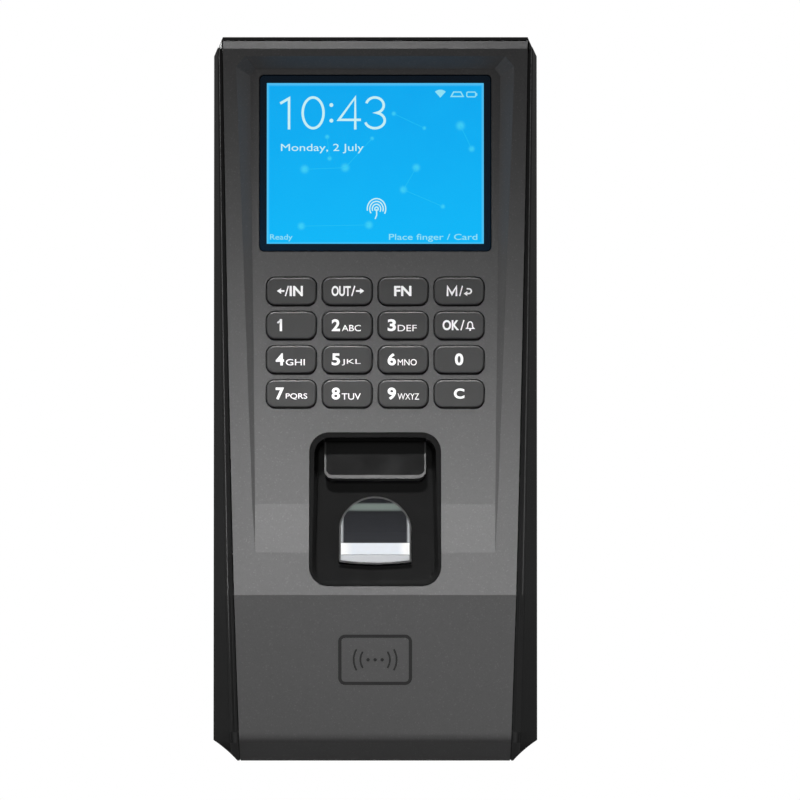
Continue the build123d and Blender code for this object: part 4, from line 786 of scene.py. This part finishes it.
def softbox(name, place, target, width, height, power, spread=180):
    """A rectangular light that points at a spot, with its beam's spread in degrees."""
    data = bpy.data.lights.new(name, "AREA")
    data.shape = "RECTANGLE"
    data.size = width
    data.size_y = height
    data.energy = power
    data.spread = math.radians(spread)
    light = bpy.data.objects.new(name, data)
    light.location = place
    light.rotation_euler = (Vector(target) - Vector(place)).to_track_quat("-Z", "Y").to_euler()
    bpy.context.scene.collection.objects.link(light)


# Place, target, width and height in metres, power in watts and spread in degrees. A solver matched the powers
# to the photo's brightness. pool_light keeps its answer, rounded, and the others were changed or set.
softbox("pool_light", (-0.10, -0.655, 0.745), (0, -0.038, -0.043), 0.5, 0.06, 0.375, 9)
softbox("top_light", (-0.05, -0.062, 0.95), (0, -0.035, 0.0), 0.3, 0.03, 0.025, 16)
softbox("key_light", (-0.42, -0.85, 0.75), (0, 0, 0.0), 0.4, 0.3, 0.5)
softbox("front_light", (0.20, -1.2, -0.45), (0, 0, -0.06), 0.3, 0.3, 0.12)
softbox("left_strip", (-0.60, -0.42, 0.0), (-0.04, 0, 0.0), 0.08, 0.5, 0.7)
softbox("right_strip", (0.60, -0.35, 0.2), (0.04, 0, 0.06), 0.2, 0.5, 0.45)
softbox("back_light", (0, 1.0, 0.8), (0, 0, 0), 0.4, 0.4, 5.0, 50)

# White behind the object. The gloss mirrors a dim room with brighter walls at its sides and a dark rear.
ROOM_LOW = grey(0.06)
ROOM_HIGH = grey(0.19)
ROOM_SIDES = grey(0.26)
ROOM_REAR = grey(0.05)
world = bpy.data.worlds.new("studio")
bpy.context.scene.world = world
world.use_nodes = True
tree = world.node_tree
tree.nodes.clear()
direction = add(tree, "ShaderNodeTexCoord", {}).outputs["Generated"]
heading = add(tree, "ShaderNodeSeparateXYZ", {"Vector": direction}).outputs
room = mixed(tree, span(tree, heading["Z"], -0.6, 0.9, 0.0, 1.0), ROOM_LOW, ROOM_HIGH)
sideways = span(tree, maths(tree, "ABSOLUTE", heading["X"]), 0.40, 0.55, 0.0, 1.0)
walls = maths(tree, "MULTIPLY", sideways, span(tree, heading["Y"], 0.1, 0.4, 1.0, 0.0))
room = mixed(tree, walls, room, ROOM_SIDES)
room = mixed(tree, span(tree, heading["Y"], 0.6, 0.9, 0.0, 1.0), room, ROOM_REAR)
seen = add(tree, "ShaderNodeLightPath", {}).outputs["Is Camera Ray"]
sky = add(tree, "ShaderNodeBackground", {"Color": mixed(tree, seen, room, grey(1.0)), "Strength": 1.0})
add(tree, "ShaderNodeOutputWorld", {"Surface": sky.outputs["Background"]})

CAMERA_DISTANCE = 1.60
FRAME_SPAN = 0.1975  # what the picture's width shows at the front of the case
FRAME_SHIFT_X = 0.00615  # the object stands left of the picture's middle
FRAME_SHIFT_Z = -0.00025
front_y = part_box("front_panel")[0].y
camera_data = bpy.data.cameras.new("camera")
camera_data.sensor_width = 36
camera_data.lens = camera_data.sensor_width * CAMERA_DISTANCE / FRAME_SPAN
camera = bpy.data.objects.new("camera", camera_data)
camera.location = (FRAME_SHIFT_X, front_y - CAMERA_DISTANCE, FRAME_SHIFT_Z)
camera.rotation_euler = (math.radians(90), 0, 0)
bpy.context.scene.collection.objects.link(camera)
bpy.context.scene.camera = camera
bpy.context.scene.view_settings.view_transform = "Standard"
